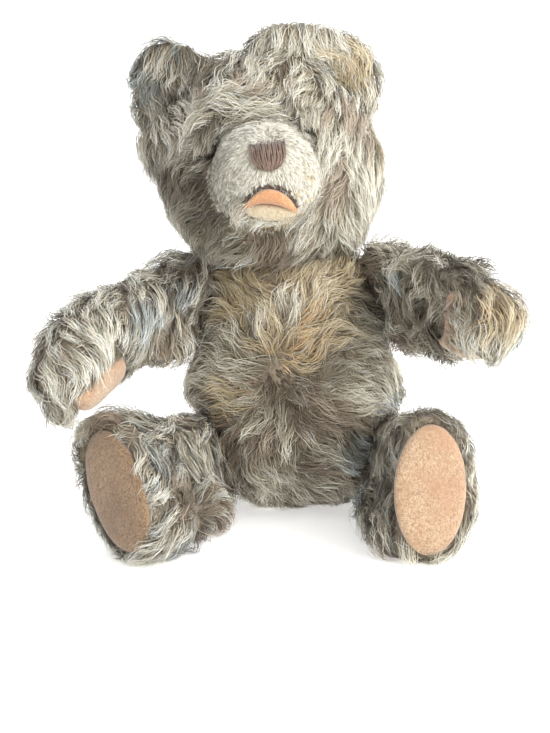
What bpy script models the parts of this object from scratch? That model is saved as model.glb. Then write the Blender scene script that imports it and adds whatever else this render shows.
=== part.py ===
"""Jointed mohair teddy bear, seated, with its stuffing and its five disc joints.

Metres, +Z up. The bear faces -Y and its own right side is at -X. The origin is the centre of
the flat underside that it sits on.
"""

import math

import bmesh
import bpy
from mathutils import Vector

MM = 0.001

# Driving dimensions, in millimetres until mm() or MM turns them into metres.
COVER = 6.0  # pile and backing of a mohair cover, as one soft wall
FLAT_WALL = 3.0  # the same wall where a joint disc squeezes it
CLIPPED_COVER = 3.0  # the shaved muzzle
PAD_FELT = 3.0
GAP = 0.3  # between pieces that touch
TUFT = 1.4  # how far every second lock of the pile stands out
GROWLER_CENTRE, GROWLER_RADIUS, GROWLER_Y = (3, 0, 60), 18.0, (6.0, 31.0)
DISC_THICK, WASHER_THICK, WASHER_RADIUS = 3.0, 0.8, 6.0
PIN_WIRE, PIN_HALF_GAP, PIN_EYE, PIN_HOLE = 0.8, 0.95, 2.6, 2.3

# Torso sections: height, half width, half depth, centre X, centre Y.
TORSO = [
    (0, 25, 18, 3, 12),
    (4, 33, 26, 3, 9),
    (13, 42, 36, 3, 5),
    (26, 48.5, 43, 3.5, 2),
    (44, 51.5, 46.5, 4, 0),
    (64, 51, 45, 3.5, 0),
    (84, 48.5, 41, 1.5, 1),
    (100, 44, 37, -1.5, 2),
    (112, 38, 33, -4, 3),
    (121, 31, 28, -6, 4),
    (128, 25, 24, -7, 4),
]
# Head sections: height above the neck, half width, depth to the front and to the back.
HEAD = [
    (0, 24, 23, 24),
    (3, 33, 32, 34),
    (10, 43, 39, 43),
    (21, 50.5, 43, 49),
    (35, 53.5, 44, 52),
    (48, 54, 43, 53),
    (60, 52, 40, 51),
    (72, 45, 34, 45),
    (81, 36, 27, 36),
    (88, 24, 18, 25),
    (91.5, 11, 9, 12),
]
# Limb sections: share of the limb's length, half width, half height.
ARM = [
    (0, 9, 11),
    (0.05, 15, 17.5),
    (0.14, 17.5, 20),
    (0.30, 17.5, 19.5),
    (0.48, 17, 18.5),
    (0.66, 17, 18.5),
    (0.82, 16.5, 18),
    (0.92, 14.5, 15.5),
    (0.97, 11, 12),
    (1, 6, 7),
]
ARM_RISE = 2.5  # how much higher an arm is above its centre line than below it
LEG = [
    (0, 10, 12),
    (0.05, 15.5, 19),
    (0.13, 18.5, 23),
    (0.30, 20, 24),
    (0.50, 20.5, 24),
    (0.70, 20.5, 26.5),
    (0.84, 21, 30.5),
    (0.94, 21, 32.5),
    (1, 18.5, 31),
]
# Muzzle profile: distance from its base, radius.
MUZZLE = [(0, 23.5), (8, 24), (18, 24), (27, 22.3), (33.5, 18.8), (38.5, 13.5), (41.5, 7)]

# Centre lines of the limbs, from the body outwards: X, Y, Z.
RIGHT_ARM_LINE = [
    (-39.5, 21, 102),
    (-47.5, 4.5, 99),
    (-70, -28, 95),
    (-88, -58, 89),
    (-97.5, -83, 78),
    (-99, -95, 69),
]
LEFT_ARM_LINE = [
    (39, 22, 104),
    (46.5, 5, 103),
    (58, -32, 107),
    (69, -66, 108),
    (77, -89, 103),
    (79.5, -99, 97),
]
RIGHT_LEG_LINE = [(-36.5, 5, 24), (-42.6, -10.5, 24), (-54, -39, 24), (-66, -65, 26), (-78.5, -92, 31)]
LEFT_LEG_LINE = [(37, 7, 24), (42.6, -10, 24), (50, -42, 24), (54.5, -70, 27), (58, -97, 32.5)]

# Outline of the chest panel, seen from the front: X, Z.
CHEST_PANEL = [
    (-25, 140),
    (-28, 112),
    (-27, 100),
    (-15, 87),
    (-1, 78),
    (13, 87),
    (24, 100),
    (25, 112),
    (22, 140),
]


def mm(x, y, z):
    return Vector((x, y, z)) * MM


# Joints: a point on the plane where the two covers meet, the axis pointing out of the torso,
# and the radius of the two hardboard discs.
NECK_UP = Vector((-0.08, -0.03, 1)).normalized()
JOINTS = {
    "neck": (mm(-7, 4, 123.5), NECK_UP, 18.0),
    "right_shoulder": (mm(-39.5, 1, 95.5), Vector((-0.886, 0.352, 0.302)).normalized(), 9.5),
    "left_shoulder": (mm(38, 1, 97.5), Vector((0.886, 0.352, 0.302)).normalized(), 9.5),
    "right_hip": (mm(-32.5, -13, 25), Vector((-0.97, 0.2, -0.1)).normalized(), 11.0),
    "left_hip": (mm(32.5, -13, 25), Vector((0.975, 0.15, -0.1)).normalized(), 11.0),
}
SWEEP = {"right_shoulder": 27, "left_shoulder": 27, "right_hip": 32, "left_hip": 32}

TURNS_WITH = {
    "neck": ("head", "muzzle", "nose", "mouth", "lower_lip", "right_e", "left_e", "neck_outer"),
    "right_shoulder": ("right_arm", "right_paw", "right_shoulder_outer"),
    "left_shoulder": ("left_arm", "left_paw", "left_shoulder_outer"),
    "right_hip": ("right_leg", "right_foot", "right_hip_outer"),
    "left_hip": ("left_leg", "left_foot", "left_hip_outer"),
}

FACE = Vector((0.09, -1, -0.10)).normalized()  # where the muzzle points
MUZZLE_BASE = mm(-14.5, -35, 166.5)
FACE_UP = (NECK_UP - FACE * NECK_UP.dot(FACE)).normalized()
FACE_SIDE = FACE_UP.cross(FACE)  # towards the bear's left
# The eyes sit askew: how far each is aside, up and forward of the muzzle's base.
EYE_RADIUS = 5.5
EYES = {"right": (-22.0, 11.5, -6.6), "left": (21.6, 19.2, -5.0)}
# Ears: height of the roots above the neck, half thickness, and how far the sides bend forward.
EAR_HEIGHT, EAR_THICK, EAR_CUP = 80.0, 5.5, 6.0
# Each ear's root out to the bear's left, half width, height, lean outwards, and how square it is.
EARS = {
    "right_ear": (-38.5, 21.0, 29.0, math.radians(34.5), 2.0),
    "left_ear": (22.5, 27.0, 27.0, math.radians(16), 2.5),
}
# Which way the felt pads face, and which way the toes point.
SOLE_NORMALS = {
    "right": Vector((-0.64, -0.75, 0.14)).normalized(),
    "left": Vector((0.12, -0.98, 0.12)).normalized(),
}
PALMS = {
    "right": Vector((0.68, -0.33, -0.65)).normalized(),
    "left": Vector((0.2, -0.55, -0.8)).normalized(),
}
TOES = {"right": Vector((-0.42, 0.5, 0.9)), "left": Vector((0.02, 0.1, 1))}


# ---------------------------------------------------------------- materials and objects


def material(name, colour, roughness=0.9, metallic=0.0):
    made = bpy.data.materials.new(name)
    made.use_nodes = True
    shader = made.node_tree.nodes["Principled BSDF"]
    shader.inputs["Base Color"].default_value = (*colour, 1)
    shader.inputs["Roughness"].default_value = roughness
    shader.inputs["Metallic"].default_value = metallic
    made.diffuse_color = (*colour, 1)
    return made


def clear_scene():
    for old in list(bpy.data.objects):
        bpy.data.objects.remove(old)


def add(name, mesh_data, look=None, smooth=True):
    """Links a bmesh as an object, with its faces turned outwards."""
    bmesh.ops.recalc_face_normals(mesh_data, faces=mesh_data.faces)
    mesh = bpy.data.meshes.new(name)
    mesh_data.to_mesh(mesh)
    mesh_data.free()
    made = bpy.data.objects.new(name, mesh)
    bpy.context.scene.collection.objects.link(made)
    if look:
        mesh.materials.append(look)
    if smooth:
        mesh.shade_smooth()
        mesh.set_sharp_from_angle(angle=math.radians(50))
    return made


def helper(made):
    """Marks an object as a cutter, which isn't part of the bear."""
    made.hide_render = True
    made.display_type = "WIRE"
    return made


def cut(made, *cutters, operation="DIFFERENCE"):
    for cutter in cutters:
        step = made.modifiers.new(cutter.name, "BOOLEAN")
        step.object = cutter
        step.operation = operation
        step.solver = "EXACT"
    return made


# ---------------------------------------------------------------- shapes


def across(normal, hint):
    """Two unit vectors square to normal: one nearest to hint, and the other square to both."""
    first = (hint - normal * hint.dot(normal)).normalized()
    return first, normal.cross(first)


def loft(rings, split=False):
    """A closed bmesh through rings of points, each end closed by one face. Split sides are
    triangles, so that one loft inside another stays inside where both twist."""
    made = bmesh.new()
    loops = [[made.verts.new(point) for point in ring] for ring in rings]
    count = len(loops[0])
    for lower, upper in zip(loops, loops[1:]):
        for i in range(count):
            j = (i + 1) % count
            if split:
                made.faces.new((lower[i], lower[j], upper[j]))
                made.faces.new((lower[i], upper[j], upper[i]))
            else:
                made.faces.new((lower[i], lower[j], upper[j], upper[i]))
    made.faces.new(loops[0])
    made.faces.new(loops[-1])
    return made


def oval(centre, side, forward, half_side, half_front, half_back, count, tufts=0.0, row=0):
    """Points round an oval with its own depth in front and behind. Every second point of a
    ring stands out by tufts, staggered from row to row, as the locks of long pile do."""
    points = []
    for i in range(count):
        angle = math.tau * i / count
        out = tufts * ((i + row) % 2)
        depth = half_front if math.sin(angle) >= 0 else half_back
        points.append(
            centre
            + side * ((half_side + out) * MM * math.cos(angle))
            + forward * ((depth + out) * MM * math.sin(angle))
        )
    return points


def curve_point(line, share):
    """A point at that share of the length of a smooth curve through the points of line."""
    knots = [mm(*p) for p in line]
    knots = [knots[0] * 2 - knots[1], *knots, knots[-1] * 2 - knots[-2]]
    steps, samples = 12, []
    for a, b, c, d in zip(knots, knots[1:], knots[2:], knots[3:]):
        for i in range(steps):
            t = i / steps
            bend = (2 * a - 5 * b + 4 * c - d) * t**2 + (3 * b - a - 3 * c + d) * t**3
            samples.append(0.5 * (2 * b + (c - a) * t + bend))
    samples.append(knots[-2])
    lengths = [(q - p).length for p, q in zip(samples, samples[1:])]
    goal = share * sum(lengths)
    for p, q, length in zip(samples, samples[1:], lengths):
        if goal <= length:
            return p.lerp(q, goal / length)
        goal -= length
    return samples[-1]


def tangent(line, share):
    step = 0.02
    ahead, behind = min(1, share + step), max(0, share - step)
    return (curve_point(line, ahead) - curve_point(line, behind)).normalized()


def between(table, low, high):
    """The rows of a table from low to high in its first column, with new rows at both."""

    def row_at(value):
        for lower, upper in zip(table, table[1:]):
            if value <= upper[0]:
                share = (value - lower[0]) / (upper[0] - lower[0])
                return tuple(a + (b - a) * share for a, b in zip(lower, upper))
        return table[-1]

    clear = 0.02 * (table[-1][0] - table[0][0])
    inner = [row for row in table if low + clear < row[0] < high - clear]
    return [row_at(low), *inner, row_at(high)]


def torso_rings(inset, count, tufts=0.0):
    rings = []
    rows = between(TORSO, inset, TORSO[-1][0] - inset)
    for row, (height, half_width, half_depth, centre_x, centre_y) in enumerate(rows):
        plain = row == 0
        rings.append(
            oval(
                mm(centre_x, centre_y, height),
                Vector((1, 0, 0)),
                Vector((0, -1, 0)),
                half_width - inset,
                half_depth - inset,
                half_depth - inset,
                count,
                0 if plain else tufts,
                row,
            )
        )
    return rings


def head_rings(inset, count, tufts=0.0, base_inset=None):
    neck, up, _ = JOINTS["neck"]
    side, back = across(up, Vector((1, 0, 0)))
    low = inset if base_inset is None else base_inset
    rings = []
    for row, (height, half_width, front, rear) in enumerate(between(HEAD, low, HEAD[-1][0] - inset)):
        lean = mm(-5, 0, 0) * (height / HEAD[-1][0])
        centre = neck + up * ((height + GAP / 2) * MM) + lean
        grown = 0 if row == 0 else tufts
        rings.append(
            oval(
                centre,
                side,
                -back,
                half_width - inset,
                front - inset,
                rear - inset,
                count,
                grown,
                row,
            )
        )
    return rings


def limb_rings(limb, inset, count, tufts=0.0, end_inset=None, slack=0.0):
    """Rings along a limb. A leg's last rings turn to lie parallel to its sole."""
    line, profile, side_hint, sole, toe = limb
    total = sum((mm(*q) - mm(*p)).length for p, q in zip(line, line[1:])) / MM
    last_inset = inset if end_inset is None else end_inset
    turn_from = 0.55
    rings = []
    rows = between(profile, inset / total, 1 - last_inset / total)
    rows[0] = (rows[0][0] + slack / total, *rows[0][1:])
    rows[-1] = (rows[-1][0] - slack / total, *rows[-1][1:])
    inset += slack
    for row, (share, half_side, half_height) in enumerate(rows):
        normal = tangent(line, share)
        side, height = across(normal, side_hint)
        height = -height if height.z < 0 else height
        rise = 0 if sole else ARM_RISE * min(1, share / ARM[4][0]) ** 2
        if sole:
            turn = min(1, max(0, (share - turn_from) / (1 - turn_from)))
            normal = normal.lerp(sole, turn).normalized()
            height, side = across(normal, height.lerp(toe, turn))
        plain = row in (0, len(rows) - 1)
        rings.append(
            oval(
                curve_point(line, share),
                side,
                height,
                half_side - inset,
                half_height + rise - inset,
                half_height - inset,
                count,
                0 if plain else tufts,
                row,
            )
        )
    return rings


def cylinder(name, point, axis, radius, start, end, count=24, look=None, turned=Vector((0, 0, 1))):
    """A cylinder round axis, from start to end millimetres beyond point."""
    if abs(axis.dot(turned)) > 0.95:
        turned = Vector((1, 0, 0))
    side, other = across(axis, turned)
    rings = []
    for along in (start, end):
        rings.append(oval(point + axis * (along * MM), side, other, radius, radius, radius, count))
    return add(name, loft(rings), look)


def half_space(name, point, axis, start, reach=260):
    """A block that holds everything more than start millimetres beyond point along axis."""
    return helper(cylinder(name, point, axis, reach, start, start + reach, 4))


def ring_plate(name, point, axis, radius, start, end, count, look):
    """A washer or a disc, bored for the pin."""
    side, other = across(axis, Vector((0, 0, 1)) if abs(axis.z) < 0.9 else Vector((1, 0, 0)))
    rings = [
        oval(point + axis * (along * MM), side, other, wide, wide, wide, count)
        for wide, along in ((radius, start), (radius, end), (PIN_HOLE, end), (PIN_HOLE, start))
    ]
    made = bmesh.new()
    loops = [[made.verts.new(p) for p in ring] for ring in rings]
    for a, b in zip(loops, [*loops[1:], loops[0]]):
        for i in range(count):
            j = (i + 1) % count
            made.faces.new((a[i], a[j], b[j], b[i]))
    return add(name, made, look)


# ---------------------------------------------------------------- joints


def wire(name, path, radius, look, count=6):
    """A round wire through the points of path."""
    rings, side = [], None
    for i, spot in enumerate(path):
        along = (path[min(i + 1, len(path) - 1)] - path[max(i - 1, 0)]).normalized()
        side, other = across(along, side or along.orthogonal())
        rings.append(oval(spot, side, other, radius, radius, radius, count))
    return add(name, loft(rings), look)


def cotter_pin(name, point, axis, look):
    """One wire: it splays, runs through the joint, turns round in an eye and comes back."""
    side, _ = across(axis, Vector((0, 0, 1)) if abs(axis.z) < 0.9 else Vector((1, 0, 0)))
    face = GAP / 2 + FLAT_WALL + GAP + DISC_THICK + GAP + WASHER_THICK + GAP
    half = [(PIN_HALF_GAP, -face + 0.5), (PIN_HALF_GAP, face)]
    splay = [(PIN_HALF_GAP + x, -face - PIN_WIRE - z) for x, z in ((3.0, 1.2), (2.2, 2.0), (0.8, 1.4))]
    eye = []
    top = face + PIN_WIRE + PIN_EYE
    for i in range(6):
        angle = math.radians(-45 + 270 * i / 5)
        eye.append((PIN_EYE * math.cos(angle), top + PIN_EYE * math.sin(angle)))
    back = [(-by, along) for by, along in reversed(splay + half)]
    path = [point + side * (by * MM) + axis * (along * MM) for by, along in splay + half + eye + back]
    return wire(name, path, PIN_WIRE, look)


def joint_hardware(name, board, steel):
    """Two hardboard discs, two washers and the cotter pin of one joint."""
    point, axis, radius = JOINTS[name]
    disc = GAP / 2 + FLAT_WALL + GAP
    washer = disc + DISC_THICK + GAP
    for place, sign in (("outer", 1), ("inner", -1)):
        out = axis * sign
        ring_plate(f"{name}_{place}_disc", point, out, radius, disc, disc + DISC_THICK, 16, board)
        far = washer + WASHER_THICK
        ring_plate(f"{name}_{place}_washer", point, out, WASHER_RADIUS, washer, far, 12, steel)
    cotter_pin(f"{name}_cotter_pin", point, axis, steel)


def joint_pockets(name, sign):
    """Cutters for the room that a joint's disc and pin take behind the flat on one side."""
    point, axis, radius = JOINTS[name]
    start = GAP / 2 + FLAT_WALL + 0.5 * GAP
    deep = GAP / 2 + FLAT_WALL + GAP + DISC_THICK + GAP
    side = "out" if sign > 0 else "in"
    pin_end = deep + WASHER_THICK + 2 * (PIN_EYE + PIN_WIRE) + 1.5
    out = axis * sign
    for_disc = cylinder(f"cut_{name}_disc_{side}", point, out, radius + GAP, start, deep, 16)
    for_pin = cylinder(f"cut_{name}_pin_{side}", point, out, WASHER_RADIUS + GAP, start, pin_end, 10)
    return helper(for_disc), helper(for_pin)


def pin_hole(joint, side="torso"):
    point, axis, _ = JOINTS[joint]
    return helper(cylinder(f"cut_{side}_{joint}_hole", point, axis, PIN_HOLE, -9, 9, 12))


def hang_on_axis(joint):
    """Parents what turns at a joint to an empty that stands on the joint's axis."""
    point, axis, _ = JOINTS[joint]
    centre = bpy.data.objects.new(f"{joint}_axis", None)
    bpy.context.scene.collection.objects.link(centre)
    centre.location = point
    for made in bpy.data.objects:
        if made is not centre and made.name.startswith(TURNS_WITH[joint]) and not made.hide_render:
            made.parent = centre
            made.location = -point


# ---------------------------------------------------------------- soft parts


def torso(looks):
    """The torso's cover with its chest panel, its stuffing and the growler."""
    neck, up, _ = JOINTS["neck"]
    limbs = list(SWEEP)
    cover = add("torso_cover", loft(torso_rings(0, 24, TUFT)), looks["mohair"])
    room = helper(add("torso_room", loft(torso_rings(COVER, 16))))
    fill = add("torso_stuffing", loft(torso_rings(COVER + GAP, 16)), looks["wool"])
    bib = add("chest_bib", loft(torso_rings(0, 24, TUFT)), looks["peach mohair"])
    for made, wall in ((cover, 0), (bib, 0), (room, FLAT_WALL), (fill, FLAT_WALL + GAP)):
        cut(made, half_space(f"cut_{made.name}_neck", neck, up, -GAP / 2 - wall))
        for limb_joint in limbs:
            point, axis, _ = JOINTS[limb_joint]
            start, wide = -GAP / 2 - wall, SWEEP[limb_joint] + wall
            cut(made, helper(cylinder(f"cut_{made.name}_{limb_joint}", point, axis, wide, start, 90, 20)))
    cut(bib, chest_panel("cut_chest", 0), operation="INTERSECT")
    cut(bib, room)
    cut(cover, room, chest_panel("cut_chest_opening", GAP))
    for name in JOINTS:
        pockets = joint_pockets(name, -1)
        cut(cover, pin_hole(name), pockets[0])
        cut(fill, *pockets)
    centre, back = mm(*GROWLER_CENTRE), Vector((0, 1, 0))
    start, end = GROWLER_Y
    pocket = cylinder("cut_growler", centre, back, GROWLER_RADIUS + GAP, start - GAP, 80, 24)
    cut(fill, helper(pocket))
    cylinder("growler", centre, back, GROWLER_RADIUS, start, end, 24, looks["board"])


def chest_panel(name, grow):
    """A prism along Y in the outline of the chest panel."""
    middle = Vector((-1, 105))
    rings = []
    for y in (-80, -12):
        ring = []
        for x, z in CHEST_PANEL:
            out = Vector((x, z)) - middle
            spot = middle + out * (1 + grow / out.length)
            ring.append(mm(spot.x, y, spot.y))
        rings.append(ring)
    return helper(add(name, loft(rings)))


def head(looks):
    cover = add("head_cover", loft(head_rings(0, 26, TUFT)), looks["mohair"])
    room = helper(add("head_room", loft(head_rings(COVER, 16, 0, FLAT_WALL))))
    fill = add("head_stuffing", loft(head_rings(COVER + GAP, 16, 0, FLAT_WALL + GAP)), looks["wool"])
    socket_radius = MUZZLE[1][1] * 1.02 + 1.5 * GAP
    socket = helper(cylinder("cut_muzzle", MUZZLE_BASE, FACE, socket_radius, -GAP, 60, 24))
    pockets = joint_pockets("neck", 1)
    cut(cover, room, socket, pin_hole("neck", "head"), pockets[0])
    cut(fill, socket, *pockets)
    for side, sign in (("right", -1), ("left", 1)):
        eye_at = eye_place(side)
        hollow = helper(ball(f"cut_{side}_eye", eye_at, EYE_RADIUS + GAP))
        cut(cover, hollow)
        cut(fill, hollow)
        ball(f"{side}_eye", eye_at, EYE_RADIUS, looks["glass"])
        ear(f"{side}_ear", sign, looks)


def eye_place(side):
    aside, up_by, forward = EYES[side]
    return MUZZLE_BASE + (FACE_SIDE * aside + FACE_UP * up_by + FACE * forward) * MM


def ball(name, centre, radius, look=None):
    made = bmesh.new()
    bmesh.ops.create_uvsphere(made, u_segments=12, v_segments=7, radius=radius * MM)
    bmesh.ops.translate(made, verts=made.verts, vec=centre)
    return add(name, made, look)


def ear(name, sign, looks):
    """A cupped ear, cut to the head where it is sewn on."""
    neck, up, _ = JOINTS["neck"]
    head_side, _ = across(up, Vector((1, 0, 0)))
    root_out, half_width, tall, lean, fullness = EARS[name]
    root = neck + (up * EAR_HEIGHT + head_side * root_out) * MM
    rise = up * math.cos(lean) + head_side * (sign * math.sin(lean))
    side = head_side * math.cos(lean) - up * (sign * math.sin(lean)) + Vector((0, 0.15 * sign, 0))
    side, front = across(rise, side)
    front = -front if front.y > 0 else front
    rings = []
    for row, share in enumerate((-0.15, 0.1, 0.35, 0.58, 0.76, 0.89, 0.97)):
        width = half_width * (1 - max(share, 0) ** fullness) ** (1 / fullness)
        centre = root + rise * (share * tall * MM)
        ring = oval(centre, side, front, width, EAR_THICK, EAR_THICK, 18, TUFT, row)
        bent = []
        for spot in ring:
            off = (spot - root).dot(side) / (half_width * MM)
            bent.append(spot + front * (EAR_CUP * off * off * MM))
        rings.append(bent)
    made = add(name, loft(rings), looks["mohair"])
    seat = head_rings(-2 * GAP, 26, TUFT)
    clear = up * (GAP * MM / (len(seat) - 1))
    raised = [[spot + clear * row for spot in ring] for row, ring in enumerate(seat)]
    return cut(made, helper(add(f"cut_{name}", loft(raised))))


def make_limb(name, joint, limb, looks):
    """One arm or leg: cover and stuffing, each cut flat at the joint and at the ground."""
    point, axis, _ = JOINTS[joint]
    end = PAD_FELT if limb[3] else None
    cover = add(f"{name}_cover", loft(limb_rings(limb, 0, 20, TUFT)), looks["mohair"])
    inner = limb_rings(limb, COVER, 12, end_inset=end)
    room = helper(add(f"{name}_room", loft(inner, split=True)))
    core = limb_rings(limb, COVER, 12, end_inset=end, slack=GAP)
    fill = add(f"{name}_stuffing", loft(core, split=True), looks["wool"])
    for made, wall in ((cover, 0), (room, FLAT_WALL), (fill, FLAT_WALL + GAP)):
        cut(made, half_space(f"cut_{made.name}_joint", point, -axis, -GAP / 2 - wall))
    ground = half_space(f"cut_{name}_ground", mm(0, 0, 0), Vector((0, 0, -1)), 0)
    pockets = joint_pockets(joint, 1)
    cut(cover, ground, room, pin_hole(joint, name), pockets[0])
    cut(fill, *pockets)
    return cover, room


def pad(name, cover, room, limb, look, centre, normal, long_way, half_long, half_wide):
    """A felt pad let into a cover: what an oval prism holds of the wall there."""
    long_way, wide_way = across(normal, long_way)

    def prism(label, grow, outer):
        long, wide = half_long + grow, half_wide + grow
        rings = []
        for along in (5, outer):
            rings.append(oval(centre + normal * (along * MM), long_way, wide_way, long, wide, wide, 22))
        return helper(add(label, loft(rings)))

    made = add(name, loft(limb_rings(limb, 0, 20)), look)
    cut(made, prism(f"cut_{name}", 0, 40), operation="INTERSECT")
    cut(made, room)
    cut(cover, prism(f"cut_{name}_opening", GAP, 41))


def limbs(looks):
    for side, arm_line, leg_line in (
        ("right", RIGHT_ARM_LINE, RIGHT_LEG_LINE),
        ("left", LEFT_ARM_LINE, LEFT_LEG_LINE),
    ):
        shoulder, hip = f"{side}_shoulder", f"{side}_hip"
        arm = (arm_line, ARM, JOINTS[shoulder][1], None, None)
        cover, room = make_limb(f"{side}_arm", shoulder, arm, looks)
        palm_at, along = curve_point(arm_line, 0.8), tangent(arm_line, 0.8)
        pad(f"{side}_paw_pad", cover, room, arm, looks["felt"], palm_at, PALMS[side], along, 21, 11)
        sole, toe = SOLE_NORMALS[side], TOES[side]
        leg = (leg_line, LEG, JOINTS[hip][1], sole, toe)
        cover, room = make_limb(f"{side}_leg", hip, leg, looks)
        sole_at = curve_point(leg_line, 1) - sole * (6 * MM)
        pad(f"{side}_foot_pad", cover, room, leg, looks["felt"], sole_at, sole, toe, 28.5, 16)


# ---------------------------------------------------------------- face


def muzzle_rings(inset, count, base=0.0):
    """Rings round the muzzle. A base below 0 reaches back through the cut at its root."""
    rings = []
    for along, radius in between(MUZZLE, base, MUZZLE[-1][0] - inset):
        wide, tall = (radius - inset) * 1.02, (radius - inset) * 0.98
        centre = MUZZLE_BASE + FACE * (along * MM)
        rings.append(oval(centre, FACE_SIDE, FACE_UP, wide, tall, tall, count))
    return rings


def muzzle_front(across_by, up_by):
    """How far the muzzle reaches beyond its base at that place, in millimetres."""
    radius = math.hypot(across_by / 1.02, up_by / 0.98)
    for (low, wide), (high, narrow) in reversed(list(zip(MUZZLE, MUZZLE[1:]))):
        if radius <= narrow:
            return high
        if radius <= wide and wide > narrow:
            return low + (high - low) * (wide - radius) / (wide - narrow)
    return MUZZLE[1][0]


def muzzle_point(across_by, up_by, proud):
    reach = muzzle_front(across_by, up_by) + proud
    return MUZZLE_BASE + (FACE * reach + FACE_SIDE * across_by + FACE_UP * up_by) * MM


MOUTH_UP, MOUTH_HALF = -12.5, 13.5
MOUTH_WAY = (FACE - FACE_UP * 0.45).normalized()


def mouth_outline(half_wide, low, high, shrink=0.0):
    """A mound: a high arch over a shallow lower edge, corner to corner."""
    points = []
    for i in range(9):
        angle = math.pi * i / 8
        points.append((-(half_wide - shrink) * math.cos(angle), (high - shrink) * math.sin(angle)))
    for i in range(1, 6):
        share = i / 6
        points.append(((half_wide - shrink) * (1 - 2 * share), -(low - shrink) * math.sin(math.pi * share)))
    return points


def mouth_prism(name, outline, start, end, look=None):
    """An outline pushed along the mouth's own direction."""
    centre = muzzle_point(0, MOUTH_UP, 0)
    up = FACE_UP - MOUTH_WAY * FACE_UP.dot(MOUTH_WAY)
    up.normalize()
    rings = []
    for along in (start, end):
        rings.append([centre + (MOUTH_WAY * along + FACE_SIDE * x + up * y) * MM for x, y in outline])
    return add(name, loft(rings), look, smooth=False)


def face(looks):
    skin = add("muzzle_cover", loft(muzzle_rings(0, 24)), looks["clipped mohair"])
    hollow = helper(add("muzzle_room", loft(muzzle_rings(CLIPPED_COVER, 16, -2))))
    core = add("muzzle_stuffing", loft(muzzle_rings(CLIPPED_COVER + GAP, 16)), looks["wool"])
    corner, low, high, jaw_high = MOUTH_HALF, 4.5, 10.0, 4.0
    floor = -6.0
    felt_top = floor + GAP + 1.6
    opening = mouth_outline(corner, low, high)
    cut(skin, hollow, helper(mouth_prism("cut_mouth", opening, floor, 30)))
    cut(core, helper(mouth_prism("cut_mouth_core", opening, floor, 30)))
    tongue = mouth_outline(corner, low, high, GAP)
    mouth_prism("mouth_felt", tongue, floor + GAP, felt_top, looks["felt"])
    jaw = mouth_outline(corner, low, jaw_high, GAP)
    lip = mouth_prism("lower_lip", jaw, felt_top + GAP, 2.0, looks["clipped mohair"])
    rounding = lip.modifiers.new("Soft edge", "BEVEL")
    rounding.width, rounding.segments, rounding.limit_method = 1.2 * MM, 2, "ANGLE"
    nose(looks)


def edge_of(grid):
    """The outermost vertices of a grid, once round."""
    right, left = [line[-1] for line in grid[1:-1]], [line[0] for line in grid[-2:0:-1]]
    return grid[0] + right + grid[-1][::-1] + left


def nose(looks):
    """The embroidered nose: upright satin stitches over a patch that narrows downwards."""
    stitches = 9
    rows = [(17.0, 7.5), (13.2, 6.6), (9.8, 5.4), (6.6, 4.2), (3.0, 3.2)]
    base, body, ridge = 2 * GAP, 1.2, 0.7
    made = bmesh.new()

    def grid(proud_at):
        lines = []
        for up_by, half in rows:
            spots = [(half * (c / stitches - 1), proud_at(c)) for c in range(2 * stitches + 1)]
            lines.append([made.verts.new(muzzle_point(x, up_by, proud)) for x, proud in spots])
        return lines

    under = grid(lambda c: base)
    over = grid(lambda c: base + body + ridge * (c % 2))
    for lines in (under, over):
        for a, b in zip(lines, lines[1:]):
            for c in range(2 * stitches):
                made.faces.new((a[c], a[c + 1], b[c + 1], b[c]))
    rim_under, rim_over = edge_of(under), edge_of(over)
    for i in range(len(rim_under)):
        j = (i + 1) % len(rim_under)
        made.faces.new((rim_under[i], rim_under[j], rim_over[j], rim_over[i]))
    return add("nose_embroidery", made, looks["thread"])


def main():
    clear_scene()
    looks = {
        "mohair": material("Mohair", (0.46, 0.38, 0.29), 0.85),
        "peach mohair": material("Peach mohair", (0.66, 0.46, 0.29), 0.85),
        "clipped mohair": material("Clipped mohair", (0.72, 0.69, 0.58), 0.9),
        "felt": material("Peach felt", (0.80, 0.50, 0.28), 0.95),
        "thread": material("Brown thread", (0.20, 0.13, 0.10), 0.7),
        "glass": material("Eye glass", (0.03, 0.015, 0.01), 0.08),
        "wool": material("Wood wool", (0.72, 0.60, 0.40), 0.95),
        "board": material("Hardboard", (0.45, 0.33, 0.20), 0.8),
        "steel": material("Steel", (0.55, 0.55, 0.55), 0.35, 1.0),
    }
    torso(looks)
    head(looks)
    face(looks)
    limbs(looks)
    for name in JOINTS:
        joint_hardware(name, looks["board"], looks["steel"])
        hang_on_axis(name)


main()
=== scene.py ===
"""Looks of the seated, jointed teddy bear: skins, a pile of real strands, felt pads, a stitched face.

Everything is in metres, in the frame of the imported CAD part: the bear faces -Y and its own right
side is at -X. Each body gets one smooth skin, made from its CAD solids, and locks of mohair that
are combed along it.
"""

import math

import bmesh
import bpy
import numpy as np
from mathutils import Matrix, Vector, noise
from mathutils.bvhtree import BVHTree


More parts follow.
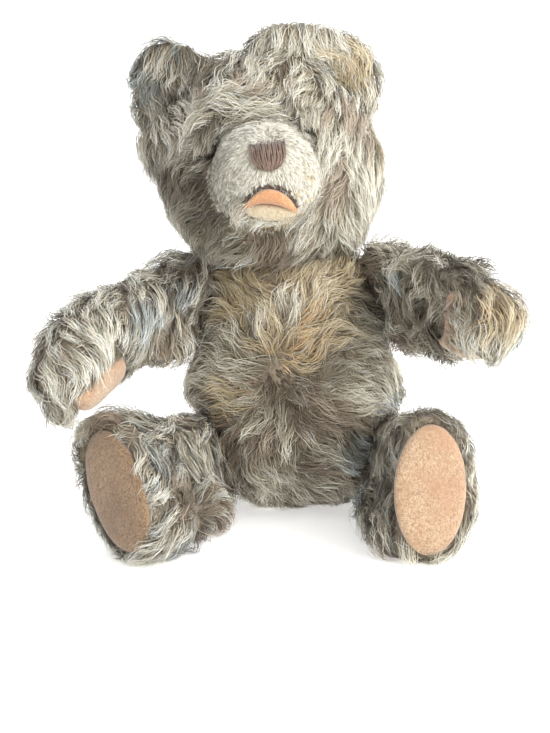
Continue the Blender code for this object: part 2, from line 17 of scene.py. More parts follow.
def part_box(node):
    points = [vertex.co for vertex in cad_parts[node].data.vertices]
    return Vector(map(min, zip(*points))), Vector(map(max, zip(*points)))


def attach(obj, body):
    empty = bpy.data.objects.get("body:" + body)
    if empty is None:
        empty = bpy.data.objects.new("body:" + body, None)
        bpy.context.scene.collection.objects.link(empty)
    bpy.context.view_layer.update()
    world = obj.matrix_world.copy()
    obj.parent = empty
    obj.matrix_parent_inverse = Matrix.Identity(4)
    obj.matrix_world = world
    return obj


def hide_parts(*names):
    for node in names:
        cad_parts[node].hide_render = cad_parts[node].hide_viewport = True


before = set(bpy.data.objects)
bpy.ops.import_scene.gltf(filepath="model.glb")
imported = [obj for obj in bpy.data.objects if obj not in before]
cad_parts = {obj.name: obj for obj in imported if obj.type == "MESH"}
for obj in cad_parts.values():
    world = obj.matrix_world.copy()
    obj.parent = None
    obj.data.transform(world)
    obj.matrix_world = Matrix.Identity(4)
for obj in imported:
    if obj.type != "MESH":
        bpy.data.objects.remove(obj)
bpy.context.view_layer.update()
MM = 0.001
rng = np.random.default_rng(11)


# ---------------------------------------------------------------- tables

# The joints: a point on the plane where two covers meet, and the axis out of the torso.
JOINTS = {
    "neck": ((-7, 4, 123.5), (-0.08, -0.03, 1), "head", 20),
    "right_shoulder": ((-39.5, 1, 95.5), (-0.886, 0.352, 0.302), "right_arm", 11),
    "left_shoulder": ((38, 1, 97.5), (0.886, 0.352, 0.302), "left_arm", 11),
    "right_hip": ((-32.5, -13, 25), (-0.97, 0.2, -0.1), "right_leg", 13),
    "left_hip": ((32.5, -13, 25), (0.975, 0.15, -0.1), "left_leg", 13),
}
# The face: the muzzle's base and the way it points.
NECK_UP = Vector((-0.08, -0.03, 1)).normalized()
FACE = Vector((0.09, -1, -0.10)).normalized()
FACE_UP = (NECK_UP - FACE * NECK_UP.dot(FACE)).normalized()
FACE_SIDE = FACE_UP.cross(FACE)  # towards the bear's left
OUT, UP, LEVEL = np.array(FACE), np.array(FACE_UP), np.array(FACE_SIDE)
MUZZLE_BASE = Vector((-14.5, -35, 166.5))
# The muzzle's radius at some distances from its base, in mm.
MUZZLE = [(0, 23.5), (8, 24), (18, 24), (27, 22.3), (33.5, 18.8), (38.5, 13.5), (41.5, 7)]

# How the pile lies: place in millimetres and the way it is combed, in tenths.
COMB = {
    "head": [
        (-53, -6, 214, -4, 1, -9), (-70, -4, 210, -4, 2, -9), (-69, -3, 197, -4, 1, -9),
        (-70, 0, 184, 2, 4, -9), (-53, -16, 192, 4, -8, -5), (-50, -18, 189, 4, -8, -5),
        (-38, -13, 209, -2, -7, -7), (-35, -26, 196, -9, 1, -3), (-27, -29, 197, -9, -1, -4),
        (-22, -17, 209, -3, -8, -5), (-43, -6, 214, -2, -3, -9), (18, -6, 218, 6, 2, -8),
        (25, -6, 222, 7, 2, -7), (32, -5, 223, 7, 2, -7), (10, -10, 215, 4, -2, -9),
        (-3, -8, 218, -9, 0, -5), (-13, -8, 212, -4, -9, -3), (13, -16, 199, -2, -7, -7),
        (25, -14, 196, -1, -8, -6), (-12, -34, 190, -10, -1, -2), (21, -29, 175, -7, -6, -5),
        (16, -29, 184, -5, -6, -6), (22, -31, 162, -3, -2, -9), (36, -15, 168, 0, 0, -10),
        (32, -21, 151, -1, 2, -10), (15, -34, 146, -6, 0, -8), (27, -23, 145, 2, 6, -8),
        (-44, -33, 170, -8, 4, -3), (-51, -28, 175, -5, 3, -8), (-45, -30, 150, -7, 6, -3),
        (-41, -26, 138, -4, 7, -5), (-61, -14, 159, 1, 3, -10), (-56, -18, 146, 4, 1, -9),
        (-31, -32, 135, -7, 6, -4), (-13, -36, 134, -3, 5, -8), (-1, -36, 137, -6, 3, -8),
        (13, -32, 138, -6, 0, -8), (-37, -31, 187, -9, 2, -3), (0, -28, 197, -3, -6, -7),
        (-18, -25, 204, -8, -4, -5), (-66, -6, 171, 2, -7, -6),
    ],
    "torso": [
        (-20, -31, 98, -6, 5, 6), (-12, -35, 98, -1, 3, 9), (-27, -30, 90, -6, 5, 6),
        (-4, -34, 101, 2, 4, 9), (8, -34, 93, 8, 3, 6), (17, -33, 89, 8, 4, 4), (24, -29, 93, 8, 6, 2),
        (31, -19, 106, 8, 4, -5), (21, -33, 82, 9, 4, 2), (24, -35, 75, 9, 4, 2),
        (-33, -17, 113, -4, 8, 4), (-20, -25, 113, -3, 5, 8), (-10, -24, 115, -1, 7, 7),
        (6, -26, 115, 3, 6, 8), (20, -14, 116, 4, 9, 3), (-41, -15, 94, -5, 7, -6),
        (-28, -29, 79, -8, 6, 1), (-29, -31, 70, -8, 6, 0), (-29, -33, 62, -8, 6, 0),
        (-38, -6, 39, -1, 9, -4), (-19, -40, 46, -3, 2, -9), (-5, -46, 50, -5, 0, -9),
        (-3, -45, 36, 6, 2, -8), (-7, -36, 22, 8, 2, -6), (2, -45, 67, 7, -2, -7),
        (26, -37, 68, 9, 4, -1), (25, -41, 53, 9, 3, -3), (6, -45, 48, 5, 0, -9), (19, -42, 37, 9, 3, -3),
        (-1, -45, 42, 4, 1, -9), (9, -40, 27, 6, 4, -7), (4, -37, 22, 8, 4, -6),
        (-30, -31, 32, -2, 5, -8), (-37, -2, 25, 1, -10, 0), (36, -26, 81, 8, 6, -1),
        (42, -25, 78, 4, 0, -9), (-18, -29, 17, 3, 6, -7),
    ],
    "right_arm": [
        (-52, -24, 109, -2, -8, -5), (-62, -21, 116, -5, -8, -2), (-68, -23, 116, -7, -7, -2),
        (-77, -35, 112, -6, -8, -2), (-67, -55, 97, -3, -7, -7), (-61, -44, 94, -2, -3, -9),
        (-80, -69, 102, -4, -8, -4), (-82, -77, 94, 3, -4, -9), (-90, -56, 107, -2, -10, -2),
        (-92, -68, 101, 2, -9, -3), (-92, -73, 97, 4, -8, -4), (-91, -84, 92, 8, -2, -6),
        (-98, -91, 87, 6, -6, -5), (-108, -94, 81, -2, -2, -10), (-102, -96, 74, 2, 3, -9),
        (-99, -95, 70, -2, 6, -8), (-90, -89, 71, -1, 8, -7), (-64, -41, 82, 1, 9, -4),
        (-56, -24, 84, 0, 9, -4), (-107, -72, 94, -3, -8, -5), (-77, -61, 104, -1, -9, -5),
    ],
    "left_arm": [
        (51, -13, 124, 3, -9, 1), (64, -44, 126, 4, -9, 0), (76, -71, 124, 4, -9, -2),
        (52, -52, 122, -4, 8, -4), (45, -14, 121, -1, -10, -2), (50, -35, 106, 4, -3, -8),
        (47, -21, 97, 4, -4, -8), (60, -70, 117, 4, -5, -8), (64, -73, 112, -2, 8, -5),
        (61, -62, 105, -2, 8, -5), (82, -88, 117, 8, -3, -5), (77, -100, 110, 1, -4, -9),
        (83, -99, 103, -2, 1, -10), (91, -90, 104, 0, -2, -10), (88, -94, 92, -2, 0, -9),
        (70, -80, 88, 8, -1, -5), (66, -80, 100, 2, -10, -1), (74, -97, 97, 6, -2, -7),
        (66, -81, 96, 8, -3, -4), (76, -90, 86, 7, -1, -7), (63, -59, 90, 2, -10, 0),
        (54, -24, 86, 2, -10, 1), (76, -85, 90, 9, -5, 1), (74, -100, 109, 2, -2, -10),
        (56, -39, 92, 5, -6, -6),
    ],
    "right_leg": [
        (-77, -73, 58, -9, -3, 1), (-72, -60, 60, -8, -4, 1), (-67, -74, 51, -7, -2, -5),
        (-53, -60, 50, -6, -3, -5), (-53, -74, 43, -4, 0, -8), (-66, -88, 38, -3, 0, -9),
        (-45, -55, 40, -3, 0, -9), (-57, -92, 29, -1, 0, -9), (-52, -84, 40, -3, -3, -8),
        (-43, -60, 38, -2, -3, -8), (-36, -40, 22, 2, 3, -9), (-49, -80, 27, 0, -3, 8),
        (-54, -92, 27, -4, -7, 4), (-56, -98, 19, -4, -9, -1), (-54, -97, 10, -2, -5, -8),
        (-48, -82, 7, 0, 0, -9), (-44, -68, 16, 3, 9, 0), (-44, -68, 25, 3, 7, 5),
        (-43, -66, 8, 3, 6, -6), (-60, -103, 6, -5, 0, -8), (-75, -93, 40, 0, -2, -9),
        (-31, -13, 5, -2, -9, -2),
    ],
    "left_leg": [
        (67, -86, 60, 6, 0, -8), (48, -89, 56, -3, 6, -8), (43, -50, 39, -3, -4, -9),
        (34, -21, 22, -2, 6, -8), (33, -24, 10, 1, -10, -2), (37, -50, 14, 1, -10, -2),
        (45, -90, 45, -1, -8, -6), (43, -93, 25, 0, 4, -9), (42, -79, 13, 1, -9, -5),
        (36, -50, 7, 2, -10, 0), (32, -19, 7, 1, -10, -1), (29, -1, 11, 0, -7, -7),
        (75, -86, 46, 3, 0, -10), (77, -89, 29, -1, -1, -10), (75, -91, 14, -3, -2, -9),
        (70, -93, 6, -7, -2, -7), (47, -99, 7, 4, 2, -9),
    ],
}
# The same for the sides and backs, one row for each stretch.
COMB_BACK = {
    "head": [
        (40, 10, 200, 6, 2, -8), (50, 20, 180, 2, 4, -9), (50, 25, 155, 0, 3, -9),
        (40, 30, 140, -2, 2, -9), (-60, 20, 200, -4, 4, -8), (-65, 25, 180, -2, 4, -9),
        (-62, 25, 155, 0, 3, -9), (-50, 30, 138, 2, 2, -9), (-10, 50, 200, 0, 5, -8),
        (-10, 58, 175, 1, 1, -10), (15, 52, 160, -2, 1, -9), (-35, 52, 160, 3, 1, -9),
        (-10, 10, 218, 0, 9, -3), (-10, 50, 140, 0, -1, -10), (-10, 30, 212, 1, 8, -5),
    ],
    "torso": [
        (0, 48, 100, 0, 1, -10), (-25, 44, 80, -3, 1, -9), (28, 44, 80, 3, 1, -9), (3, 50, 50, 1, 0, -10),
        (-30, 40, 40, -4, 0, -9), (35, 40, 40, 4, 0, -9), (3, 44, 15, 0, -4, -9),
        (-47, 15, 60, -2, 2, -9), (52, 15, 60, 2, 2, -9), (50, 5, 90, 2, 3, -9), (-48, 5, 85, -2, 3, -9),
        (0, 40, 118, 0, 4, -9),
    ],
    "right_arm": [
        (-62, -5, 95, -4, -4, -8), (-82, -30, 85, -5, -6, -6), (-108, -65, 80, -3, -6, -7),
        (-75, -45, 75, -2, -6, -7), (-110, -85, 72, 2, -5, -8), (-55, 10, 112, -5, -4, -7),
    ],
    "left_arm": [
        (62, -5, 95, 4, -5, -7), (78, -38, 95, 5, -7, -5), (92, -70, 98, 3, -8, -5),
        (55, 8, 118, 6, -4, -7), (70, -30, 120, 5, -8, -2), (85, -95, 92, 2, -5, -8),
        (72, -60, 88, 3, -8, -4),
    ],
    "right_leg": [
        (-60, -20, 40, -5, -8, -1), (-62, -20, 15, -6, -7, -3), (-78, -60, 30, -6, -7, -3),
        (-75, -55, 8, -6, -7, -2), (-90, -80, 50, -6, -5, 5), (-95, -85, 25, -5, -5, -6),
        (-60, -45, 50, -7, -6, -1),
    ],
    "left_leg": [
        (60, -20, 40, 3, -9, 0), (62, -30, 15, 3, -9, -2), (68, -60, 30, 2, -9, -1),
        (50, -60, 55, 7, -6, -1), (60, -80, 4, 2, -9, -1), (44, -42, 48, 4, -8, -1),
    ],
}
# Of each body's pile: the skin's depth under the CAD surface, the locks' length, the lift of the
# highest and the spacing, in mm; strands in a lock, and how far its lie wanders.
PILE = {
    "head": (2.6, 19.5, 7.4, 4.2, 23, 0.6),
    "torso": (3.0, 19.0, 6.0, 4.6, 23, 0.45),
    "right_arm": (2.4, 17.0, 6.4, 4.4, 23, 0.6),
    "left_arm": (2.4, 16.0, 6.4, 4.4, 23, 0.65),
    "right_leg": (1.4, 18.0, 6.6, 4.5, 23, 0.55),
    "left_leg": (1.4, 17.0, 6.2, 4.5, 23, 0.5),
}
# Where the pile stands up more: place in mm, radius, and the extra lift.
FLUFF = {
    "head": [
        (-32, -2, 214, 13, 10.0), (-14, -2, 214, 12, 11.0), (3, -5, 214, 12, 9.0),
        (-67, -4, 186, 12, 8.0), (-69, -2, 178, 9, 9.0), (42, -12, 178, 10, 3.5),
        (-10, -30, 133, 22, 3.5), (-36, -28, 192, 8, 2.5), (10, -26, 192, 9, 2.5),
        (20, -12, 206, 11, 4.0), (40, -8, 160, 14, 3.0), (-36, -6, 131, 9, 8.0), (24, -6, 134, 9, 9.0),
        (36, -4, 200, 12, 3.5), (-62, -8, 160, 10, -3.0), (-52, -12, 142, 10, -3.5),
    ],
    "torso": [
        (-34, -2, 114, 12, 14.0), (28, -2, 116, 12, 14.0), (-45, -8, 46, 16, 8.0), (-46, -6, 64, 14, 7.0),
        (46, -12, 36, 12, 4.0), (50, -6, 66, 10, -3.0), (0, -36, 8, 14, -3.0), (-25, -34, 12, 9, 9.0),
        (25, -34, 12, 9, 9.0),
    ],
    "right_arm": [
        (-48, 0, 119, 11, 19.0), (-62, -8, 118, 10, 9.0), (-76, -26, 116, 12, 8.0),
        (-92, -50, 108, 12, 8.0), (-106, -70, 98, 12, 8.0), (-112, -88, 80, 12, 5.0),
        (-97, -94, 61, 12, 11.0), (-56, -24, 84, 12, 9.0), (-113, -90, 66, 10, -5.0),
    ],
    "left_arm": [
        (42, -3, 124, 11, 18.0), (54, -29, 90, 13, 14.0), (66, -62, 87, 13, 15.0),
        (80, -88, 87, 12, 15.0), (90, -90, 112, 12, 8.0), (94, -92, 98, 12, 9.0), (78, -72, 126, 12, 5.0),
        (60, -40, 126, 14, 4.0), (63, -84, 96, 9, 9.0),
    ],
    "right_leg": [
        (-58, -45, 50, 20, 4.0), (-72, -66, 60, 12, 8.0), (-90, -92, 8, 12, -4.0),
        (-48, -88, 9, 11, 16.0), (-42, -72, 9, 12, 17.0), (-34, -54, 9, 12, 17.0),
        (-28, -39, 9, 10, 13.0), (-97, -74, 46, 12, 8.0),
    ],
    "left_leg": [
        (56, -70, 60, 20, 6.0), (50, -40, 48, 14, 6.0), (38, -78, 8, 12, 13.0), (30, -58, 9, 12, 16.0),
        (25, -40, 10, 11, 14.0), (80, -82, 14, 12, 4.0),
    ],
}
# The share of a body's strands that turn cool and brown.
MIXED = {
    "head": (0.10, 0.03), "torso": (0.02, 0.1), "right_arm": (0.2, 0.04), "left_arm": (0.04, 0.08),
    "right_leg": (0.28, 0.05), "left_leg": (0.1, 0.05),
}
# How pale each body's pile is, from 0 to 1. Partly painted light: the arm and leg on the bear's right are set
# paler than those on its left, for how the light falls on them.
BASE = {"head": 0.8, "torso": 0.68, "right_arm": 0.74, "left_arm": 0.68, "right_leg": 0.76, "left_leg": 0.62}
SWELL = 0.55  # the share of the extra lift that the skin under the pile takes
SWELL_RANGE = (-1.5, 8.0)  # the most that a skin dips and swells for it, in mm
# From the CAD surface to the skin, in mm: at an ear, where a joint presses, at the floor, under clipped
# pile, under a felt pad, and under the left paw's pad, which the pile grows over.
EAR_SINK, JOINT_SINK, FLOOR_SINK, THIN_SINK, PAD_SINK, PAW_SINK = 1.2, 0.3, 1.2, 1.2, 3.8, 0.9
FLOOR_CLEAR = 0.0012  # the least height of a skin, in metres
BODY_VOXEL, EAR_VOXEL = 2.4, 2.0  # of the casts that the skins start from, in mm
# Tints of the tips and of the roots, dark to pale, in 0-255 sRGB.
TINTS = {
    "plain": [((118, 107, 87), (70, 62, 49)), ((254, 251, 237), (184, 174, 150))],
    "blond": [((172, 152, 116), (140, 121, 88)), ((240, 228, 198), (200, 180, 144))],
    "peach": [((196, 156, 112), (168, 130, 86)), ((238, 214, 176), (206, 172, 128))],
    "cool": [((130, 133, 126), (84, 84, 76)), ((238, 244, 243), (166, 169, 164))],
    "brown": [((112, 97, 80), (68, 58, 46)), ((205, 191, 172), (138, 123, 105))],
    "velvet": [((160, 156, 138), (128, 123, 104)), ((248, 246, 236), (216, 212, 197))],
}
CLINGS = 0.55  # the share of a lock's line that follows the skin
FAR, DEEP = 0.009, 0.003  # what counts as far from another skin and as deep in it, in metres
FAMILY = {tint: i for i, tint in enumerate(TINTS)}
SHADES = 5  # bands of the strands' map for each tint
BANDS = len(FAMILY) * SHADES
# Patches of the pile: place in mm, radius, how much paler or darker, and the tint's family or none.
PATCHES = {
    "head": [
        (16, -34, 157, 7, -0.4, "brown"), (-40, -15, 197, 7, -0.35, "brown"),
        (-16, -28, 200, 6, -0.2, "brown"), (-8, -24, 205, 7, -0.1, "brown"),
        (-58, -5, 204, 9, -0.3, "brown"), (-25, -22, 207, 6, 0.0, "brown"),
        # Painted light and shade: the broad paler patches on the bear's left cheek and the darker ones on its
        # right cheek and jaw stand in for the key light from the bear's left.
        (-39, -14, 209, 7, 0.15, "cool"), (30, -28, 178, 22, 0.75, None), (-48, -26, 158, 20, -0.5, None),
        (38, -12, 170, 6, 0.15, "blond"), (-44, -28, 140, 16, -0.3, None),
        (-12, -34, 132, 16, 0.05, "brown"), (-62, -8, 205, 20, -0.12, None),
        (-58, -14, 158, 15, -0.45, None), (8, -18, 212, 14, 0.3, None), (30, -22, 148, 16, 0.6, None),
        # The dark brown spot at (-38, -30, 180) is painted shade in the hollow round the right eye.
        (-12, -30, 190, 12, 0.2, None), (-38, -30, 180, 6, -0.4, "brown"), (18, -26, 198, 12, 0.3, None),
        (-30, -34, 150, 9, 0.2, None), (-25, -28, 198, 12, 0.25, None), (-52, -12, 206, 12, 0.1, None),
    ],
    "torso": [
        (-10, -40, 67, 12, -0.3, "brown"), (12, -38, 72, 8, -0.15, "brown"),
        (46, -18, 50, 15, 0.35, "cool"), (-38, -28, 58, 13, 0.3, "blond"), (-5, -38, 14, 20, -0.05, None),
        # The darker patch at (-40, -5, 40) is painted shade where the right leg meets the torso.
        (-36, -25, 88, 9, 0.2, None), (30, -35, 60, 12, 0.08, None), (-40, -5, 40, 16, -0.3, None),
        (14, -42, 50, 8, -0.15, "brown"), (-12, -42, 36, 10, -0.1, "brown"),
        (38, -20, 104, 9, -0.35, None), (40, -10, 118, 9, 0.3, "cool"), (30, -32, 36, 10, -0.2, "cool"),
        (24, -36, 80, 10, -0.2, None),
    ],
    "chest": [
        (-12, -36, 84, 7, 0.0, "peach"), (6, -35, 87, 9, 0.0, "peach"), (9, -32, 100, 8, 0.0, "peach"),
        (7, -28, 120, 9, -0.1, "peach"), (-24, -28, 117, 8, -0.1, "peach"),
        (-31, -28, 95, 7, -0.1, "peach"), (-17, -33, 99, 9, 0.2, "plain"),
        (-4, -32, 106, 9, 0.15, "plain"), (-5, -36, 78, 7, -0.15, "peach"),
        (22, -28, 108, 8, -0.15, "plain"),
    ],
    "right_arm": [
        (-58, -35, 108, 5, -0.6, None), (-52, -30, 104, 8, 0.35, "cool"),
        (-68, -52, 96, 13, 0.35, "cool"), (-92, -78, 92, 15, 0.28, None),
        (-100, -92, 70, 10, -0.35, None), (-62, -15, 116, 13, -0.22, None),
        (-85, -45, 112, 14, -0.1, None),
    ],
    "left_arm": [
        (64, -30, 124, 24, -0.22, None), (50, -35, 118, 8, 0.3, "cool"), (56, -45, 100, 11, -0.35, None),
        (66, -92, 95, 11, 0.6, "plain"), (84, -96, 108, 14, 0.0, "blond"),
        (80, -98, 110, 7, -0.1, "peach"), (92, -88, 100, 9, 0.2, "cool"), (62, -66, 108, 10, 0.15, None),
        (60, -40, 88, 12, 0.1, None),
    ],
    "right_leg": [
        (-48, -80, 17, 19, -0.4, "brown"), (-52, -96, 4, 8, 0.3, "cool"), (-58, -84, 44, 11, 0.2, "cool"),
        (-54, -98, 3, 8, 0.35, "cool"), (-58, -60, 46, 22, 0.2, None), (-70, -98, 22, 9, 0.15, None),
        # The darker patch at (-35, -20, 40) is painted shade where the leg meets the torso.
        (-35, -20, 40, 12, -0.35, None), (-98, -80, 35, 14, -0.35, None),
    ],
    "left_leg": [
        (58, -80, 62, 12, -0.3, None), (47, -92, 54, 6, 0.4, None), (34, -40, 12, 14, 0.2, "cool"),
        (44, -80, 40, 12, -0.12, None), (76, -88, 40, 10, 0.2, None), (46, -95, 8, 8, 0.25, "cool"),
    ],
}
# As FLUFF, for the ears.
EAR_FLUFF = {
    "right": [(-70, -2, 192, 9, 6.0)],
    "left": [(36, -2, 204, 10, 5.0), (37, 0, 226, 8, 6.0), (-15, -2, 224, 10, 17.0), (-4, -2, 229, 9, 5.0)],
}


# ---------------------------------------------------------------- small helpers


def linear(rgb):
    """An sRGB colour of 0 to 255 as linear numbers with alpha."""
    made = [c / 255 for c in rgb]
    return [c / 12.92 if c <= 0.04045 else ((c + 0.055) / 1.055) ** 2.4 for c in made] + [1.0]


def unit(a):
    return a / np.maximum(np.linalg.norm(a, axis=-1, keepdims=True), 1e-12)


def smooth(a, low, high):
    """Rises smoothly from 0 at low to 1 at high."""
    t = np.clip((a - low) / (high - low), 0, 1)
    return t * t * (3 - 2 * t)


def nearness(places, centre, radius):
    """From 1 for places at the centre down to 0 far from it, all in mm."""
    return np.exp(-((np.linalg.norm(places - np.array(centre), axis=1) / radius) ** 2))


def new_object(name, mesh):
    made = bpy.data.objects.new(name, mesh)
    bpy.context.scene.collection.objects.link(made)
    return made


def mesh_of(name, points, faces):
    mesh = bpy.data.meshes.new(name)
    mesh.from_pydata([tuple(p) for p in points], [], [tuple(f) for f in faces])
    mesh.polygons.foreach_set("use_smooth", [True] * len(mesh.polygons))
    mesh.update()
    return mesh


def tree_of(nodes):
    """A search tree of the named CAD nodes' surfaces."""
    made = bmesh.new()
    for node in nodes:
        made.from_mesh(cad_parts[node].data)
    tree = BVHTree.FromBMesh(made)
    made.free()
    return tree


def distance_to(tree, points):
    """From each point to the tree's surfaces, in metres."""
    return np.array([tree.find_nearest(Vector(p))[3] for p in points])


# ---------------------------------------------------------------- materials


class Nodes:
    """A short way to write a node material."""

    def __init__(self, name):
        self.material = bpy.data.materials.new(name)
        self.material.use_nodes = True
        self.tree = self.material.node_tree
        self.shader = self.tree.nodes["Principled BSDF"]

    def add(self, kind, inputs=(), **settings):
        made = self.tree.nodes.new("ShaderNode" + kind)
        for key, value in settings.items():
            setattr(made, key, value)
        for key, value in dict(inputs).items():
            if isinstance(value, bpy.types.NodeSocket):
                self.tree.links.new(value, made.inputs[key])
            else:
                made.inputs[key].default_value = value
        return made

    def math(self, operation, a, b=0.0):
        return self.add("Math", {0: a, 1: b}, operation=operation).outputs[0]

    def ramp(self, factor, stops, interpolation="LINEAR"):
        made = self.add("ValToRGB", {"Fac": factor})
        ramp = made.color_ramp
        ramp.interpolation = interpolation
        while len(ramp.elements) < len(stops):
            ramp.elements.new(1.0)
        for element, (place, colour) in zip(ramp.elements, stops):
            element.position, element.color = place, colour
        return made.outputs["Color"]

    def mix(self, factor, a, b, blend_type="MIX"):
        made = self.add("Mix", {0: factor, 6: a, 7: b}, data_type="RGBA", blend_type=blend_type)
        return made.outputs[2]

    def noise(self, scale, detail=4.0, roughness=0.5, vector=None, distortion=0.0):
        inputs = {"Scale": scale, "Detail": detail, "Roughness": roughness, "Distortion": distortion}
        if vector is not None:
            inputs["Vector"] = vector
        return self.add("TexNoise", inputs).outputs["Fac"]

    def place(self, stretch=(1, 1, 1)):
        at = self.add("TexCoord").outputs["Object"]
        return self.add("Mapping", {"Vector": at, "Scale": stretch}).outputs[0]

    def finish(self, colour, roughness, bump=None, bump_depth=0.0003, **sockets):
        self.link(colour, "Base Color")
        self.link(roughness, "Roughness")
        if bump is not None:
            made = self.add("Bump", {"Height": bump, "Distance": bump_depth, "Strength": 0.8})
            self.link(made.outputs[0], "Normal")
        for key, value in sockets.items():
            self.shader.inputs[key.replace("_", " ")].default_value = value
        return self.material

    def link(self, value, socket):
        if isinstance(value, bpy.types.NodeSocket):
            self.tree.links.new(value, self.shader.inputs[socket])
        else:
            self.shader.inputs[socket].default_value = value


def pile_material():
    """Strands: across the map lies root to tip, and up it one band for each tint."""
    n = Nodes("mohair_strands")
    at = n.add("SeparateXYZ", {0: n.add("UVMap", uv_map="strand").outputs[0]})
    along, band = at.outputs[0], at.outputs[1]
    tips, roots = [], []
    for i in range(BANDS):
        (dark_tip, dark_root), (pale_tip, pale_root) = list(TINTS.values())[i // SHADES]
        share = (i % SHADES) / (SHADES - 1)
        tips.append((i / BANDS, linear([a + (b - a) * share for a, b in zip(dark_tip, pale_tip)])))
        roots.append((i / BANDS, linear([a + (b - a) * share for a, b in zip(dark_root, pale_root)])))
    tip = n.ramp(band, tips, "CONSTANT")
    root = n.ramp(band, roots, "CONSTANT")
    rise = n.add("MapRange", {0: along, 1: 0.12, 2: 0.92}, interpolation_type="SMOOTHSTEP").outputs[0]
    colour = n.mix(rise, root, tip)
    # Painted shade: each ribbon is darker towards its two long edges and a little brighter along its middle,
    # so that the flat strand looks round.
    within = n.math("FRACT", n.math("MULTIPLY", band, float(BANDS)))
    edge = n.math("ABSOLUTE", n.math("SUBTRACT", within, 0.5))
    shade = n.math("SUBTRACT", 1.08, n.math("MULTIPLY", edge, 0.5))
    colour = n.mix(1.0, colour, n.add("CombineColor", {0: shade, 1: shade, 2: shade}).outputs[0], "MULTIPLY")
    return n.finish(colour, 0.5, Sheen_Weight=0.25, Sheen_Roughness=0.4, Specular_IOR_Level=0.35)


def skin_material(name, dark, pale):
    """The backing and the woolly undercoat that shows between the locks."""
    n = Nodes(name)
    place = n.place((1, 1, 0.35))
    streaks = n.noise(900.0, 5.0, 0.7, place, 1.5)
    clouds = n.noise(60.0, 3.0, 0.6, n.place())
    mixed = n.math("MULTIPLY", streaks, n.math("ADD", clouds, 0.5))
    colour = n.ramp(mixed, [(0.3, linear(dark)), (0.7, linear(pale))])
    return n.finish(colour, 0.9, streaks, 0.0012, Sheen_Weight=0.3)


def felt_material(name, dark, middle, pale, soil):
    """Apricot wool felt: a close speckle of fibres, faint soiling and a soft nap."""
    n = Nodes(name)
    place = n.place()
    speckle = n.noise(1150.0, 5.0, 0.7, n.place((1, 1, 0.7)), 1.5)
    clouds = n.noise(45.0, 4.0, 0.6, place)
    colour = n.ramp(speckle, [(0.38, linear(dark)), (0.5, linear(middle)), (0.62, linear(pale))])
    patches = n.ramp(clouds, [(0.42, (0, 0, 0, 1)), (0.66, (0.65, 0.65, 0.65, 1))])
    soiled = n.mix(patches, colour, linear(soil))
    nap = n.ramp(speckle, [(0, (0.8, 0.8, 0.8, 1)), (1, (0.98, 0.98, 0.98, 1))])
    return n.finish(soiled, nap, speckle, 0.0006, Sheen_Weight=0.5, Sheen_Roughness=0.5)


def thread_material(name, dark, pale):
    """Stranded cotton with fibres along it and paler, worn patches."""
    n = Nodes(name)
    fibres = n.noise(1500.0, 4.0, 0.7, n.place((1, 1, 0.15)))
    patches = n.noise(220.0, 3.0, 0.6, n.place())
    both = n.math("ADD", n.math("MULTIPLY", fibres, 0.6), n.math("MULTIPLY", patches, 0.4))
    colour = n.ramp(both, [(0.35, linear(dark)), (0.68, linear(pale))])
    return n.finish(colour, 0.6, fibres, 0.0003, Sheen_Weight=0.2)


# ---------------------------------------------------------------- skins


def voxel_mesh(nodes, size):
    """The outside of the named CAD nodes together, as one even quad mesh: points and quads."""
    made = bmesh.new()
    for node in nodes:
        made.from_mesh(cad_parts[node].data)
    bmesh.ops.remove_doubles(made, verts=made.verts, dist=1e-6)
    mesh = bpy.data.meshes.new("cast")
    made.to_mesh(mesh)
    made.free()
    work = new_object("cast", mesh)
    voxels = work.modifiers.new("voxels", "REMESH")
    voxels.mode, voxels.voxel_size = "VOXEL", size * MM
    shown = work.evaluated_get(bpy.context.evaluated_depsgraph_get())
    cast = bmesh.new()
    cast.from_mesh(shown.to_mesh())
    keep_largest(cast)
    points = np.array([v.co for v in cast.verts])
    faces = [[v.index for v in f.verts] for f in cast.faces]
    cast.free()
    bpy.data.objects.remove(work)
    return points, faces


def keep_largest(made):
    """Drops every island but the largest."""
    seen, islands = set(), []
    for first in made.verts:
        if first in seen:
            continue
        island, front = [], [first]
        seen.add(first)
        while front:
            vertex = front.pop()
            island.append(vertex)
            for edge in vertex.link_edges:
                other = edge.other_vert(vertex)
                if other not in seen:
                    seen.add(other)
                    front.append(other)
        islands.append(island)
    islands.sort(key=len)
    bmesh.ops.delete(made, geom=[v for island in islands[:-1] for v in island], context="VERTS")
    made.verts.index_update()


